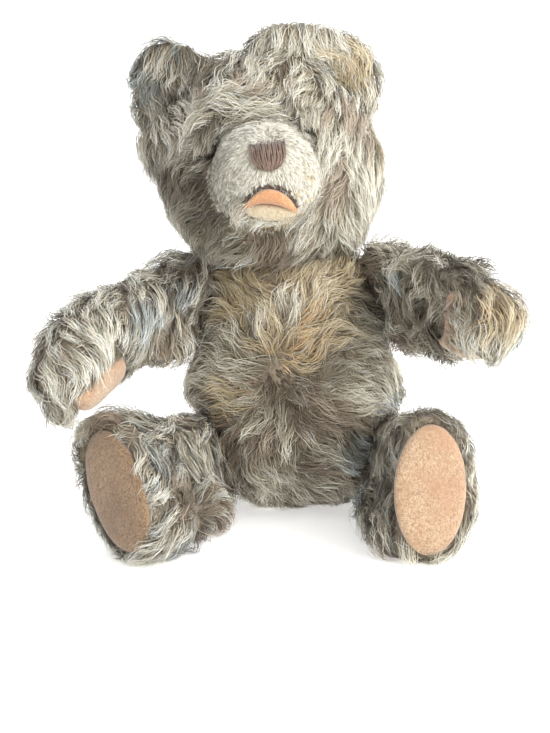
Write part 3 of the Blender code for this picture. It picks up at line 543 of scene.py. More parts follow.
class Skin:
    """A closed surface that strands grow from: points in metres, triangles, normals and a search tree."""

    def __init__(self, points, faces):
        self.faces = faces
        self.triangles = np.array([t for f in faces for t in fan(f)])
        pairs = {tuple(sorted((f[i - 1], f[i]))) for f in faces for i in range(len(f))}
        self.edges = np.array(sorted(pairs))
        self.count = np.bincount(self.edges.ravel(), minlength=len(points))[:, None]
        self.points = points

    def normals(self):
        a, b, c = (self.points[self.triangles[:, i]] for i in range(3))
        faced = np.cross(b - a, c - a)
        total = np.zeros_like(self.points)
        for i in range(3):
            np.add.at(total, self.triangles[:, i], faced)
        return unit(total)

    def spread(self, values, rounds, share=0.6):
        """Evens values out over neighbouring points."""
        for _ in range(rounds):
            total = np.zeros_like(values)
            np.add.at(total, self.edges[:, 0], values[self.edges[:, 1]])
            np.add.at(total, self.edges[:, 1], values[self.edges[:, 0]])
            values = values * (1 - share) + share * total / self.count
        return values

    def relax(self, rounds):
        """Smooths the surface without shrinking it much."""
        for _ in range(rounds):
            self.points = self.spread(self.points, 1, 0.6)
            self.points = self.spread(self.points, 1, -0.62)

    def sink(self, depth):
        """Moves every point inwards by its depth in metres, in small steps."""
        for _ in range(4):
            self.points = self.points - self.normals() * (depth[:, None] / 4)
            self.points = self.spread(self.points, 1, 0.3)

    def ready(self):
        self.normal = self.spread(self.normals(), 3)
        self.normal = unit(self.normal)
        self.tree = BVHTree.FromPolygons([Vector(p) for p in self.points], [tuple(t) for t in self.triangles])
        return self

    def along(self, ways):
        """Ways at the points, laid along the surface."""
        return unit(ways - self.normal * np.sum(ways * self.normal, axis=1, keepdims=True))

    def nearest(self, point):
        """The nearest place on the surface, and the triangle there."""
        place, _, index, _ = self.tree.find_nearest(Vector(point))
        return np.array(place), self.triangles[index]

    def object(self, name, material):
        made = new_object(name, mesh_of(name, self.points, self.faces))
        made.data.materials.append(material)
        return made


def fan(face):
    return [(face[0], face[i], face[i + 1]) for i in range(1, len(face) - 1)]


def from_joints(body, points):
    """Of each joint of a body: how far points lie off its plane and off its axis, and its radius, in mm."""
    for place, axis, outer, radius in JOINTS.values():
        if body in (outer, "torso"):
            apart = points / MM - np.array(place)
            axis = unit(np.array(axis, float))
            off = apart @ axis
            yield np.abs(off), np.linalg.norm(apart - off[:, None] * axis, axis=1), radius


def body_skin(body, nodes, voxel, sink, thin, pads, fluff, pad_sink=PAD_SINK):
    """The smooth skin under a body's pile. It sinks less where a joint or the floor presses on it."""
    points, faces = voxel_mesh(nodes + thin + pads, voxel)
    skin = Skin(points, faces)
    skin.relax(12)
    depth = sink - np.clip(SWELL * fluffed(skin.points, fluff), *SWELL_RANGE)
    for off, out, radius in from_joints(body, skin.points):
        pressed = (1 - smooth(off, 1.5, 5)) * (1 - smooth(out, radius, radius + 7))
        depth = depth * (1 - pressed) + JOINT_SINK * pressed
    floor = 1 - smooth(skin.points[:, 2] / MM, 1, 7)
    depth = depth * (1 - floor) + FLOOR_SINK * floor
    for group, least, reach in ((thin, THIN_SINK, 3.0), (pads, pad_sink, 4.5)):
        if group and nodes:
            near = 1 - smooth(distance_to(tree_of(group), skin.points) / MM, 0.8, reach)
            depth = depth * (1 - near) + least * near
    skin.sink(depth * MM)
    skin.points[:, 2] = np.maximum(skin.points[:, 2], FLOOR_CLEAR)
    skin.relax(6)
    if pads and pad_sink == PAD_SINK:
        # Folds that still reach into the felt are smoothed away.
        pad_tree = tree_of(pads)
        for _ in range(8):
            caught = distance_to(pad_tree, skin.points) < 1.5 * MM
            before = skin.points.copy()
            skin.relax(6)
            skin.points = np.where(caught[:, None], skin.points, before)
    return skin.ready()


# ---------------------------------------------------------------- combing


def comb_field(skin, rows, wander=0.0, reach=10.0):
    """For each point of a skin, the way its pile lies along the surface. It wanders by some radians."""
    rows = np.array(rows, float)
    at, way = rows[:, :3], unit(rows[:, 3:])
    apart = np.linalg.norm(skin.points[:, None] / MM - at[None], axis=2)
    weight = np.exp(-((apart / reach) ** 2)) + 1e-4 / (1 + (apart / 30) ** 4)
    field = unit(weight @ way)
    for _ in range(3):
        field = skin.spread(skin.along(field), 2)
    field = skin.along(field)
    angle = wander * (1.6 * noise_at(skin.points, 60.0, 4.0) + 0.9 * noise_at(skin.points, 140.0, 6.0))
    return field * np.cos(angle)[:, None] + np.cross(skin.normal, field) * np.sin(angle)[:, None]


def scatter(skin, spacing, allowed):
    """Root places on a skin, at least a spacing apart: places and triangles."""
    corners = skin.points[skin.triangles]
    area = np.linalg.norm(np.cross(corners[:, 1] - corners[:, 0], corners[:, 2] - corners[:, 0]), axis=1) / 2
    tries = int(area.sum() / (spacing * MM) ** 2 * 5)
    picked = rng.choice(len(area), tries, p=area / area.sum())
    shares = rng.random((tries, 2))
    flip = shares.sum(axis=1) > 1
    shares[flip] = 1 - shares[flip]
    places = corners[picked, 0] + (
        shares[:, :1] * (corners[picked, 1] - corners[picked, 0])
        + shares[:, 1:] * (corners[picked, 2] - corners[picked, 0])
    )
    cells, kept = {}, []
    for i, place in enumerate(places):
        cell = tuple(np.floor(place / (spacing * MM)).astype(int))
        around = [
            j
            for x in (-1, 0, 1)
            for y in (-1, 0, 1)
            for z in (-1, 0, 1)
            for j in cells.get((cell[0] + x, cell[1] + y, cell[2] + z), ())
        ]
        if around and np.min(np.sum((places[around] - place) ** 2, axis=1)) < (spacing * MM) ** 2:
            continue
        cells.setdefault(cell, []).append(i)
        kept.append(i)
    kept = np.array(kept)
    kept = kept[allowed(places[kept])]
    return places[kept], skin.triangles[picked[kept]]


def march(skin, field, place, corners, length, turn, steps, hang):
    """A lock's line along the skin, root to tip: places and normals. Past the share that clings,
    the pile goes straight on where the skin bends away, and hangs by its own weight."""
    places, normals = [], []
    way = None
    stride = length / (steps - 1)
    for step in range(steps):
        normal = unit(skin.normal[corners].mean(axis=0))
        combed = field[corners].mean(axis=0)
        way = combed if way is None else way * 0.45 + combed * 0.55
        way = way + np.cross(normal, way) * turn
        if step < steps * CLINGS:
            way = unit(way - normal * (way @ normal))
        else:
            way = unit(way + np.array((0, 0, -hang)))
        places.append(place)
        normals.append(normal)
        ahead = place + way * stride
        following, there = skin.nearest(ahead)
        above = (ahead - following) @ unit(skin.normal[there].mean(axis=0))
        if step >= steps * CLINGS and above > 0:
            place, corners = ahead, there
        elif np.linalg.norm(following - place) < 1.6 * stride:
            place, corners = following, there
    return places, normals


def noise_at(places, scale, seed):
    return np.array([noise.noise(Vector(p * scale) + Vector((seed, 2 * seed, 3 * seed))) for p in places])


def fluffed(places, rows):
    """How much more the pile stands up at places in metres, in mm."""
    extra = np.zeros(len(places))
    for x, y, z, radius, more in rows:
        extra += more * nearness(places / MM, (x, y, z), radius)
    return extra


class Locks:
    """Locks of pile: their lines along a skin and what their strands take from them."""

    def __init__(
        self, skin, field, spacing, length, lift, allowed=None, tilt=0.35, steps=9, fluff=(), hang=0.3
    ):
        """Grows locks from a skin, combed by its field. Lengths are in mm; tilt is how much they curl."""
        allowed = allowed or (lambda places: np.ones(len(places), bool))
        roots, corners = scatter(skin, spacing, allowed)
        count = len(roots)
        extra = fluffed(roots, fluff)
        size = (length * (0.7 + 0.5 * rng.random(count)) + 0.5 * extra) * MM
        turns = 0.9 * noise_at(roots, 55.0, 5.0) + rng.normal(0, tilt * 0.35, count)
        lines = [
            march(skin, field, roots[i], corners[i], size[i], turns[i] * tilt, steps, hang)
            for i in range(count)
        ]
        ridge = noise_at(roots, 75.0, 21.0) * 1.3 + 0.5
        up = lift * MM * np.clip(0.25 + 0.45 * ridge + 0.4 * rng.random(count), 0.2, 1.15)
        up = np.maximum(up + extra * MM * rng.uniform(0.15, 0.6, count), 0.5 * MM)
        self.settle([line[0] for line in lines], [line[1] for line in lines], size, up)

    def settle(self, places, normals, length, lift):
        """Takes the lines and gives each lock its wave, how tightly it clumps and a plain tint."""
        self.places, self.normals = np.array(places), unit(np.array(normals))
        self.length, self.lift = length, lift
        count = len(length)
        self.wave = noise_at(self.places[:, 0], 50.0, 31.0) * 9 + rng.normal(0, 0.5, count)
        self.clump = 0.45 + 0.42 * rng.random(count)
        self.shade = np.full(count, 0.6)
        self.family = np.full(count, FAMILY["plain"])

    def tint(self, patches, base=0.62, vary=1.0, family="plain"):
        """Gives each lock its shade, 0 dark to 1 pale, and its family of tints."""
        middle = self.places[:, self.places.shape[1] // 2] / MM
        count = len(middle)
        shade = 0.45 * noise_at(middle, 0.035, 1.0) + 0.4 * noise_at(middle, 0.11, 9.0)
        shade = shade + rng.normal(0, 0.12, count)
        # Painted light and shade: locks that stand up high are made paler and low-lying ones darker, for how
        # deep among the others each lies.
        shade = base + vary * (shade + 0.4 * (np.minimum(self.lift / MM / 7, 1) - 0.6))
        self.family[:] = FAMILY[family]
        if family == "plain":
            hue = noise_at(middle, 0.045, 17.0) + rng.normal(0, 0.1, count)
            self.family[hue > 0.36] = FAMILY["brown"]
        for x, y, z, radius, change, tint in patches:
            near = nearness(middle, (x, y, z), radius)
            shade = shade + change * near
            if tint:
                self.family[near + rng.normal(0, 0.12, count) > 0.55] = FAMILY[tint]
        self.shade = np.clip(shade, 0, 1)

    def some(self, chosen):
        """The chosen locks alone."""
        part = object.__new__(Locks)
        for key in ("length", "places", "normals", "lift", "wave", "clump", "shade", "family"):
            setattr(part, key, getattr(self, key)[chosen])
        return part

    def clear_of(self, others, margin=0.8):
        """Pushes the lines out of the other skins by a margin in mm, and ends those that run deep into one.
        A skin that is far from a place has no say in it."""
        steps = self.places.shape[1] - 1
        last = np.full(len(self.length), steps)
        for other in others:
            low, high = other.points.min(axis=0) - 2 * DEEP, other.points.max(axis=0) + 2 * DEEP
            inside = np.all((self.places > low) & (self.places < high), axis=2)
            for lock, step in zip(*np.nonzero(inside)):
                spot = self.places[lock, step] + self.normals[lock, step] * 0.002
                place, normal, _, apart = other.tree.find_nearest(Vector(spot))
                ahead = (Vector(spot) - place).dot(normal)
                if apart > FAR:
                    continue
                if ahead < -DEEP:
                    last[lock] = min(last[lock], step - 1)
                elif ahead < margin * MM:
                    self.places[lock, step] += np.array(normal) * (margin * MM - ahead)
        return self.cut(last / steps)

    def cut(self, kept):
        """The locks, each ended at a share of its line. Those left very short are dropped."""
        kept = np.maximum(kept, 0)
        share = np.linspace(0, 1, self.places.shape[1])[None] * kept[:, None]
        rows = np.arange(len(kept))
        self.places, self.normals = (along_lines(v, rows, share) for v in (self.places, self.normals))
        self.length, self.lift = self.length * kept, self.lift * kept**0.7
        return self.some(kept > 0.2)


def along_lines(values, lock, share):
    """Values of each strand's lock at shares of its length, in a straight line between steps."""
    steps = values.shape[1] - 1
    at = np.clip(share, 0, 1) * steps
    low = np.minimum(at.astype(int), steps - 1)
    part = (at - low)[..., None]
    rows = lock[:, None]
    return values[rows, low] * (1 - part) + values[rows, low + 1] * part


def strand_points(locks, lock, knots, look):
    """The knots of every strand, and the way its ribbon is wide at each."""
    count = len(lock)
    run = np.linspace(0, 1, knots)[None]
    reach = (0.62 + 0.38 * rng.random(count))[:, None]
    share = run * reach
    base = along_lines(locks.places, lock, share)
    normal = unit(along_lines(locks.normals, lock, share))
    further = np.minimum(share + 0.06, 1)
    ahead = unit(along_lines(locks.places, lock, further) - along_lines(locks.places, lock, further - 0.08))
    side = unit(np.cross(normal, ahead))
    hold = 1 - locks.clump[lock][:, None] * smooth(run, 0.05, 0.95)
    sideways = rng.normal(0, look["root"], (count, 1)) * MM * hold
    forward = rng.normal(0, look["root"], (count, 1)) * MM * hold
    size = locks.length[lock][:, None] / MM
    phase = locks.wave[lock][:, None] + rng.normal(0, look["loose"], (count, 1))
    swing = math.tau * share * size / (look["wave"] * rng.uniform(0.8, 1.5, (count, 1))) + phase
    height = look["wave_depth"] * MM * smooth(run, 0.0, 0.5) * rng.uniform(0.4, 1.3, (count, 1))
    sideways = sideways + height * np.sin(swing)
    lift = locks.lift[lock][:, None] * (0.45 + 0.55 * rng.random((count, 1)))
    stray = (rng.random((count, 1)) < look["stray"]) * rng.random((count, 1))
    lift = lift * (1 - (1 - run) ** 2.4) * (1 - 0.25 * run * (1 - stray))
    lift = lift + stray * look["stray_lift"] * MM * run ** 1.5
    sideways = sideways + stray * rng.normal(0, 3.0, (count, 1)) * MM * run ** 1.5
    lift = lift + 0.45 * height * np.cos(swing + 0.7) - 0.0003
    frizz = rng.normal(0, 0.16 * MM, (count, knots, 3)) * run[..., None]
    points = base + side * sideways[..., None] + ahead * forward[..., None] + normal * lift[..., None] + frizz
    twist = rng.uniform(-0.45, 0.45, (count, 1)) + 0.3 * np.sin(swing)
    wide = side * np.cos(twist)[..., None] + normal * np.sin(twist)[..., None]
    return points, wide


def strands(name, body, locks, per_lock, knots, look):
    """One piece of pile: a ribbon for each strand, which narrows to its tip."""
    lock = np.repeat(np.arange(len(locks.length)), per_lock)
    count = len(lock)
    points, wide = strand_points(locks, lock, knots, look)
    points[..., 2] = np.maximum(points[..., 2], 0.0003 + 0.0004 * rng.random((count, 1)))
    profile = np.interp(np.linspace(0, 1, knots), [0, 0.2, 0.6, 1], [0.7, 1, 0.85, 0.12])
    half = look["width"] * MM / 2 * profile[None] * rng.uniform(0.75, 1.25, (count, 1))
    left, right = points - wide * half[..., None], points + wide * half[..., None]
    both = np.stack([left, right], axis=2).reshape(count, 2 * knots, 3)[:, :-1]
    both[:, -1] = points[:, -1]
    shade = np.clip(locks.shade[lock] + rng.normal(0, look["grain"], count), 0, 0.999)
    family = locks.family[lock]
    bright = (family == FAMILY["peach"]) | (family == FAMILY["blond"])
    family[bright & (rng.random(count) < 0.4)] = FAMILY["blond"]
    family[bright & (rng.random(count) < 0.2)] = FAMILY["plain"]
    for tint in ("cool", "brown"):
        family[(family == FAMILY["plain"]) & (rng.random(count) < look[tint])] = FAMILY[tint]
    band = family * SHADES + (shade * SHADES).astype(int)
    low, high = (band + 0.04) / BANDS, (band + 0.96) / BANDS
    run = np.linspace(0.004, 0.996, knots)
    corner_u = np.repeat(run, 2)[:-1]
    corner_v = np.stack([low, high] * knots, axis=1)[:, :-1]
    corner_v[:, -1] = (low + high) / 2
    loops = [i for s in range(knots - 2) for i in (2 * s, 2 * s + 1, 2 * s + 3, 2 * s + 2)]
    loops += [2 * knots - 4, 2 * knots - 3, 2 * knots - 2]
    each = 2 * knots - 1
    mesh = bpy.data.meshes.new(name)
    mesh.vertices.add(count * each)
    mesh.vertices.foreach_set("co", both.astype(np.float32).ravel())
    corner = (np.arange(count)[:, None] * each + np.array(loops)[None]).ravel()
    mesh.loops.add(len(corner))
    mesh.loops.foreach_set("vertex_index", corner.astype(np.int32))
    sizes = np.tile([4] * (knots - 2) + [3], count)
    mesh.polygons.add(len(sizes))
    mesh.polygons.foreach_set("loop_start", np.concatenate([[0], np.cumsum(sizes)[:-1]]).astype(np.int32))
    mesh.polygons.foreach_set("use_smooth", [True] * len(sizes))
    mesh.update(calc_edges=True)
    uv = np.stack([np.tile(corner_u[loops], count), corner_v[:, loops].ravel()], axis=1).astype(np.float32)
    for label in ("strand", "OFBake"):
        mesh.uv_layers.new(name=label).data.foreach_set("uv", uv.ravel())
    mesh.uv_layers["strand"].active_render = True
    made = new_object(name, mesh)
    mesh.materials.append(pile)
    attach(made, body)


# ---------------------------------------------------------------- the face's own places


def face_place(across_by, up_by, out_by):
    """A place in the muzzle's own frame, in metres."""
    at = MUZZLE_BASE + FACE_SIDE * across_by + FACE_UP * up_by + FACE * out_by
    return np.array(at) * MM


def muzzle_reach(across_by, up_by):
    """How far the CAD muzzle comes out at that place, in mm."""
    radius = math.hypot(across_by / 1.02, up_by / 0.98)
    reach = [along for along, _ in MUZZLE[::-1]]
    return float(np.interp(radius, [r for _, r in MUZZLE[:1:-1]], reach[: len(MUZZLE) - 2]))


# The mouth's own frame: the way it opens, its wide way and its upper side. It sits a little askew.
MOUTH_WAY = np.array((FACE - FACE_UP * 0.45).normalized())
MOUTH_ROLL = -0.19  # in radians
RISE = unit(UP - MOUTH_WAY * (UP @ MOUTH_WAY))
MOUTH_SIDE = LEVEL * math.cos(MOUTH_ROLL) + RISE * math.sin(MOUTH_ROLL)
MOUTH_TOP = RISE * math.cos(MOUTH_ROLL) - LEVEL * math.sin(MOUTH_ROLL)
MOUTH = face_place(-0.6, -12.5, muzzle_reach(0, -12.5))
MOUTH_HALF = 11.6  # half the mouth's width, in mm


def mouth_place(across_by, up_by, out_by):
    """A place in the mouth's own frame, in metres."""
    return MOUTH + (MOUTH_SIDE * across_by + MOUTH_TOP * up_by + MOUTH_WAY * out_by) * MM


def arch(x):
    """The upper edge of the mouth's felt: a mound, steeper on the bear's right."""
    top = -1.5
    side = (x - top) / (MOUTH_HALF + (top if x < top else -top))
    return crease(x) + 7.4 * max(0.0, 1 - abs(side) ** 2.1) ** 0.8


def crease(x):
    """Where the felt meets the lower lip."""
    return 2.2 * (1 - (x / MOUTH_HALF) ** 2) * (1 - 0.03 * x)


def lip_edge(x):
    """The lower lip's lower edge."""
    return -5.2 * math.sqrt(max(0.0, 1 - (x / MOUTH_HALF) ** 2))


EYES = [(np.array(low) + np.array(high)) / 2 for low, high in map(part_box, ("right_eye", "left_eye"))]
# From an eye's centre to the hair that hangs over it and to the nearest roots, in mm.
EYE_CLEAR, EYE_FREE = 6.1, 5.8


def over_eyes(places):
    """Moves places in metres out of the eyeballs, to their front."""
    for eye in EYES:
        apart = places - eye
        far = np.linalg.norm(apart, axis=-1, keepdims=True)
        out = unit(apart + OUT * 0.002)
        places = np.where(far < EYE_CLEAR * MM, eye + out * EYE_CLEAR * MM, places)
    return places


def in_mouth(places, grow=0.0):
    """Which places lie on the mouth's felt or its lower lip, and how far out."""
    apart = (places - MOUTH) / MM
    x, y, out = apart @ MOUTH_SIDE, apart @ MOUTH_TOP, apart @ MOUTH_WAY
    found = np.zeros(len(places), bool)
    for i in np.nonzero((np.abs(x) < MOUTH_HALF + grow) & (out > -14))[0]:
        at = x[i] * MOUTH_HALF / (MOUTH_HALF + grow)
        found[i] = lip_edge(at) - grow < y[i] < arch(at) + grow
    return found, out


def open_mouth(skin):
    """Takes the head's skin back behind the mouth's felt and lip."""
    found, out = in_mouth(skin.points, 0.2)
    back = np.where(found, np.maximum(out + 4.5, 0), 0)[:, None]
    back = np.maximum(skin.spread(back, 1, 0.5), back)
    skin.points = skin.points - back * MOUTH_WAY * MM
    return skin.ready()


# ---------------------------------------------------------------- the bear's bodies

PILE_LOOK = {
    "root": 2.2, "loose": 0.35, "wave": 16.0, "wave_depth": 1.9, "stray": 0.07, "stray_lift": 5.0,
    "width": 0.34, "grain": 0.14, "cool": 0.05, "brown": 0.05,
}
UNDER_LOOK = dict(PILE_LOOK, root=1.6, wave_depth=0.0, stray=0.0, width=0.7)
KNOTS = 6  # of a long strand
SHORT = {"tilt": 0.9, "steps": 3, "hang": 0}  # what all undercoats' locks are made with
pile = pile_material()
under = skin_material("mohair_backing", (92, 78, 62), (168, 152, 130))
under_pale = skin_material("clipped_backing", (180, 170, 150), (226, 219, 203))
felt = felt_material("peach_felt_worn", (156, 123, 94), (194, 161, 129), (220, 194, 164), (188, 143, 110))
# A darker, browner copy of the felt for the right foot pad: painted shade for the pad that faces away from
# the key light.
felt_painted_shade = felt_material(
    "peach_felt_painted_shade", (106, 82, 58), (148, 118, 87), (182, 154, 120), (120, 92, 68)
)

SKIN_NODES = {
    "torso": ["torso_cover", "chest_bib", "torso_stuffing"],
    "head": ["head_cover", "head_stuffing"],
    "right_arm": ["right_arm_cover", "right_arm_stuffing"],
    "left_arm": ["left_arm_cover", "left_arm_stuffing"],
    "right_leg": ["right_leg_cover", "right_leg_stuffing"],
    "left_leg": ["left_leg_cover", "left_leg_stuffing"],
}
MUZZLE_NODES = ["muzzle_cover", "muzzle_stuffing"]
# Which way each felt pad faces, and its long way.
PAD_WAYS = {
    "right_paw_pad": ((0.68, -0.33, -0.65), (-0.3, -0.85, -0.45)),
    "left_paw_pad": ((0.2, -0.55, -0.8), (0.3, -0.93, -0.2)),
    "right_foot_pad": ((-0.64, -0.75, 0.14), (-0.42, 0.5, 0.9)),
    "left_foot_pad": ((0.12, -0.98, 0.12), (0.02, 0.1, 1)),
}
# How far the pile's roots keep from each felt pad, in mm.
PAD_FREE = {"right_arm": 1.4, "left_arm": 0.0, "right_leg": 1.3, "left_leg": 1.0}
# The share of a pad's oval that no lock hangs into.
PAD_BARE = {"right_arm": 0.7, "left_arm": 0.0, "right_leg": 0.88, "left_leg": 0.86}
PADS = {
    "right_arm": "right_paw_pad", "left_arm": "left_paw_pad",
    "right_leg": "right_foot_pad", "left_leg": "left_foot_pad",
}


# How far from the muzzle's CAD surface the pale backing and the clipped pile end and the long pile
# starts, and how far from the CAD bib its pile reaches, in mm.
PALE_END, CLIPPED_END, LONG_START, BIB_REACH = 2.2, 3.4, 2.5, 5.5
# How far off a felt pad's plane a lock still counts as over it, in metres.
PAD_NEAR = 0.014


def clip_muzzle(made, skin):
    """The head's skin is pale where the muzzle's pile is clipped."""
    made.data.materials.append(under_pale)
    near = distance_to(muzzle_tree, skin.points) < PALE_END * MM
    slots = [int(near[list(face)].all()) for face in skin.faces]
    made.data.polygons.foreach_set("material_index", slots)


pad_trees = {body: tree_of([node]) for body, node in PADS.items()}
muzzle_tree = tree_of(["muzzle_cover"])
bib_tree = tree_of(["chest_bib"])
skins = {}
for body, nodes in SKIN_NODES.items():
    thin = MUZZLE_NODES + ["mouth_felt", "lower_lip"] if body == "head" else []
    pads = [PADS[body]] if body in PADS else []
    pad_sink = PAW_SINK if body == "left_arm" else PAD_SINK
    skins[body] = body_skin(body, nodes, BODY_VOXEL, PILE[body][0], thin, pads, FLUFF[body], pad_sink)
open_mouth(skins["head"])
ear_skins = {
    side: body_skin("ear", [], EAR_VOXEL, EAR_SINK, [f"{side}_ear"], [], EAR_FLUFF[side])
    for side in ("right", "left")
}

for body, skin in skins.items():
    made = skin.object(f"{body}_skin", under)
    if body == "head":
        clip_muzzle(made, skin)
    stands_for = SKIN_NODES[body] + (MUZZLE_NODES if body == "head" else [])
    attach(made, body)
    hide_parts(*stands_for)
for side, skin in ear_skins.items():
    made = skin.object(f"{side}_ear_skin", under)
    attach(made, "head")
    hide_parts(f"{side}_ear")


def in_joint(body, places):
    """Where a joint's discs hold two covers together and no pile shows."""
    found = np.zeros(len(places), bool)
    for off, out, radius in from_joints(body, places):
        found |= (off < 4) & (out < radius)
    return found


def pad_frame(node):
    """Three ways of a felt pad, long, wide and out, with its middle and half sizes along them."""
    facing, long_way = (Vector(v).normalized() for v in PAD_WAYS[node])
    long_way = (long_way - facing * long_way.dot(facing)).normalized()
    ways = (long_way, facing.cross(long_way), facing)
    spans = [[v.co.dot(way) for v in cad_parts[node].data.vertices] for way in ways]
    middle = [(max(span) + min(span)) / 2 for span in spans]
    return ways, middle, [(max(span) - min(span)) / 2 for span in spans]


def off_pad(body, locks):
    """Locks that would hang over the body's felt pad end near its rim, and none grows under it."""
    ways, middle, half = pad_frame(PADS[body])
    apart = locks.places @ np.array(ways).T - middle
    bare = PAD_BARE[body] - 0.3 * rng.random((len(apart), 1)) ** 3
    oval = np.hypot(apart[..., 0] / half[0], apart[..., 1] / half[1])
    near = np.abs(apart[..., 2]) < PAD_NEAR
    over = (oval < bare) & near
    over[:, 0] |= (oval[:, 0] < 0.99) & near[:, 0]
    steps = over.shape[1] - 1
    return locks.cut(np.where(over.any(axis=1), over.argmax(axis=1), steps) / steps)


def pile_of(body):
    """A body's long locks and the short ones of its undercoat."""
    _, length, lift, spacing, _, wander = PILE[body]
    skin = skins[body]
    rows = COMB[body] + COMB_BACK[body]

    def allowed(places):
        free = ~in_joint(body, places)
        if body in PADS:
            free &= distance_to(pad_trees[body], places) > PAD_FREE[body] * MM
        if body == "head":
            free &= distance_to(muzzle_tree, places) > LONG_START * MM
            for eye in EYES:
                free &= np.linalg.norm(places - eye, axis=1) > EYE_FREE * MM
        return free

    others = [s for b, s in skins.items() if b != body]
    field = comb_field(skin, rows, wander)
    locks = Locks(skin, field, spacing, length, lift, allowed, fluff=FLUFF[body])
    if body == "head":
        locks.places = over_eyes(locks.places)
    short = Locks(skin, comb_field(skin, rows, 2.0), 2.7, 9.0, 2.6, allowed, **SHORT)
    if body in PADS:
        locks, short = off_pad(body, locks), off_pad(body, short)
    return locks.clear_of(others), short.clear_of(others)


for body in skins:
    locks, short = pile_of(body)
    locks.tint(PATCHES[body], BASE[body], 0.7 if body == "head" else 0.9)
    short.tint(PATCHES[body], BASE[body] - 0.15, 0.7)
    per_lock, look = PILE[body][4], dict(PILE_LOOK, cool=MIXED[body][0], brown=MIXED[body][1])
    back_look = dict(look, width=0.4)
    if body == "torso":
        bib, under_bib = (
            distance_to(bib_tree, some.places[:, 0]) < BIB_REACH * MM for some in (locks, short)
        )
        # Locks that hang down from the bib's rim stay with the torso's own pile.
        bib &= locks.places[:, 4, 2] > locks.places[:, 0, 2] - 2 * MM
        chest, under_chest = locks.some(bib), short.some(under_bib)
        chest.tint(PATCHES["chest"], 0.64, 0.6, "blond")
        under_chest.tint(PATCHES["chest"], 0.6, 0.6, "blond")
        strands("chest_bib_pile", body, chest, per_lock, KNOTS, look)
        strands("chest_bib_undercoat", body, under_chest, 4, 3, UNDER_LOOK)
        locks, short = locks.some(~bib), short.some(~under_bib)
    strands(f"{body}_undercoat", body, short, 4, 3, UNDER_LOOK)
    front = locks.places[:, 0, 1] < np.median(locks.places[:, 0, 1])
    strands(f"{body}_pile_front", body, locks.some(front), per_lock, KNOTS, look)
    strands(f"{body}_pile_back", body, locks.some(~front), per_lock - 4, KNOTS, back_look)


# As COMB, for the ears.
EAR_COMB = {
    "right": [
        (-60, 0, 216, -4, 1, -9), (-45, 0, 222, -2, 1, -9), (-72, 4, 205, -3, 2, -9),
        (-60, 12, 214, -3, 4, -8), (-62, -6, 200, -2, -2, -9),
    ],
    "left": [
        (-12, -6, 220, -6, -3, -2), (0, -4, 226, 1, -6, -7), (12, -4, 226, 5, -4, -7),
        (24, -4, 224, 7, -2, -8), (34, -6, 212, 5, -1, -9), (12, 10, 222, 3, 6, -7),
        (-8, 8, 220, -4, 5, -7), (30, 8, 214, 5, 4, -8),
    ],
}
# As PATCHES, for the ears.
EAR_PATCHES = {
    "right": [
        (-72, 0, 204, 12, -0.15, "cool"), (-52, -4, 222, 12, 0.1, "cool"),
        (-64, -5, 206, 5, -0.3, "brown"),
    ],
    "left": [
        (-15, 0, 222, 9, -0.3, None), (24, -5, 208, 9, 0.1, "blond"), (36, -4, 222, 8, 0.3, "cool"),
        (16, -6, 218, 6, 0.2, "blond"), (30, -5, 212, 11, 0.1, "blond"), (-2, -8, 218, 10, 0.2, None),
        (26, -5, 215, 5, -0.1, "peach"),
    ],
}
for side, skin in ear_skins.items():
    field = comb_field(skin, EAR_COMB[side], 0.8)
    locks = Locks(skin, field, 3.5, 19.0, 7.5, hang=0.6, fluff=EAR_FLUFF[side]).clear_of([skins["head"]], 3.0)
    # Painted shade: the right ear's pile is set much darker than the left's, for the side of the head away
    # from the key light.
    locks.tint(EAR_PATCHES[side], 0.5 if side == "right" else 0.85)
    strands(f"{side}_ear_pile", "head", locks, 24, KNOTS, dict(PILE_LOOK, cool=0.15))
    short = Locks(skin, comb_field(skin, EAR_COMB[side], 2.0), 2.2, 9.0, 3.0, **SHORT)
    short = short.clear_of([skins["head"]], 2.0)
    # Painted shade as above: the right ear's undercoat is set darker too.
    short.tint(EAR_PATCHES[side], 0.45 if side == "right" else 0.7)
    strands(f"{side}_ear_undercoat", "head", short, 5, 3, UNDER_LOOK)


# ---------------------------------------------------------------- the face


def tube(path, radius, sides=6):
    """Points and faces of a closed tube whose radius may change along it."""
    path = np.array(path, float)
    radius = np.broadcast_to(radius, len(path))
    ways = unit(np.gradient(path, axis=0))
    side = unit(np.cross(ways[0], (0.3, 0.2, 0.93)))
    points, faces = [], []
    for place, way, thick in zip(path, ways, radius):
        side = unit(side - way * (side @ way))
        up = np.cross(way, side)
        for i in range(sides):
            angle = math.tau * i / sides
            points.append(place + (side * math.cos(angle) + up * math.sin(angle)) * thick)
    for ring in range(len(path) - 1):
        for i in range(sides):
            a, b = ring * sides + i, ring * sides + (i + 1) % sides
            faces.append((a, b, b + sides, a + sides))
    last = (len(path) - 1) * sides
    faces.append(tuple(range(sides))[::-1])
    faces.append(tuple(range(last, last + sides)))
    return points, faces


def tubes(name, paths, radius, material, body, sides=6):
    points, faces = [], []
    for path in paths:
        made = tube(path, radius, sides)
        faces += [tuple(i + len(points) for i in f) for f in made[1]]
        points += made[0]
    piece = new_object(name, mesh_of(name, points, faces))
    piece.data.materials.append(material)
    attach(piece, body)
    return piece


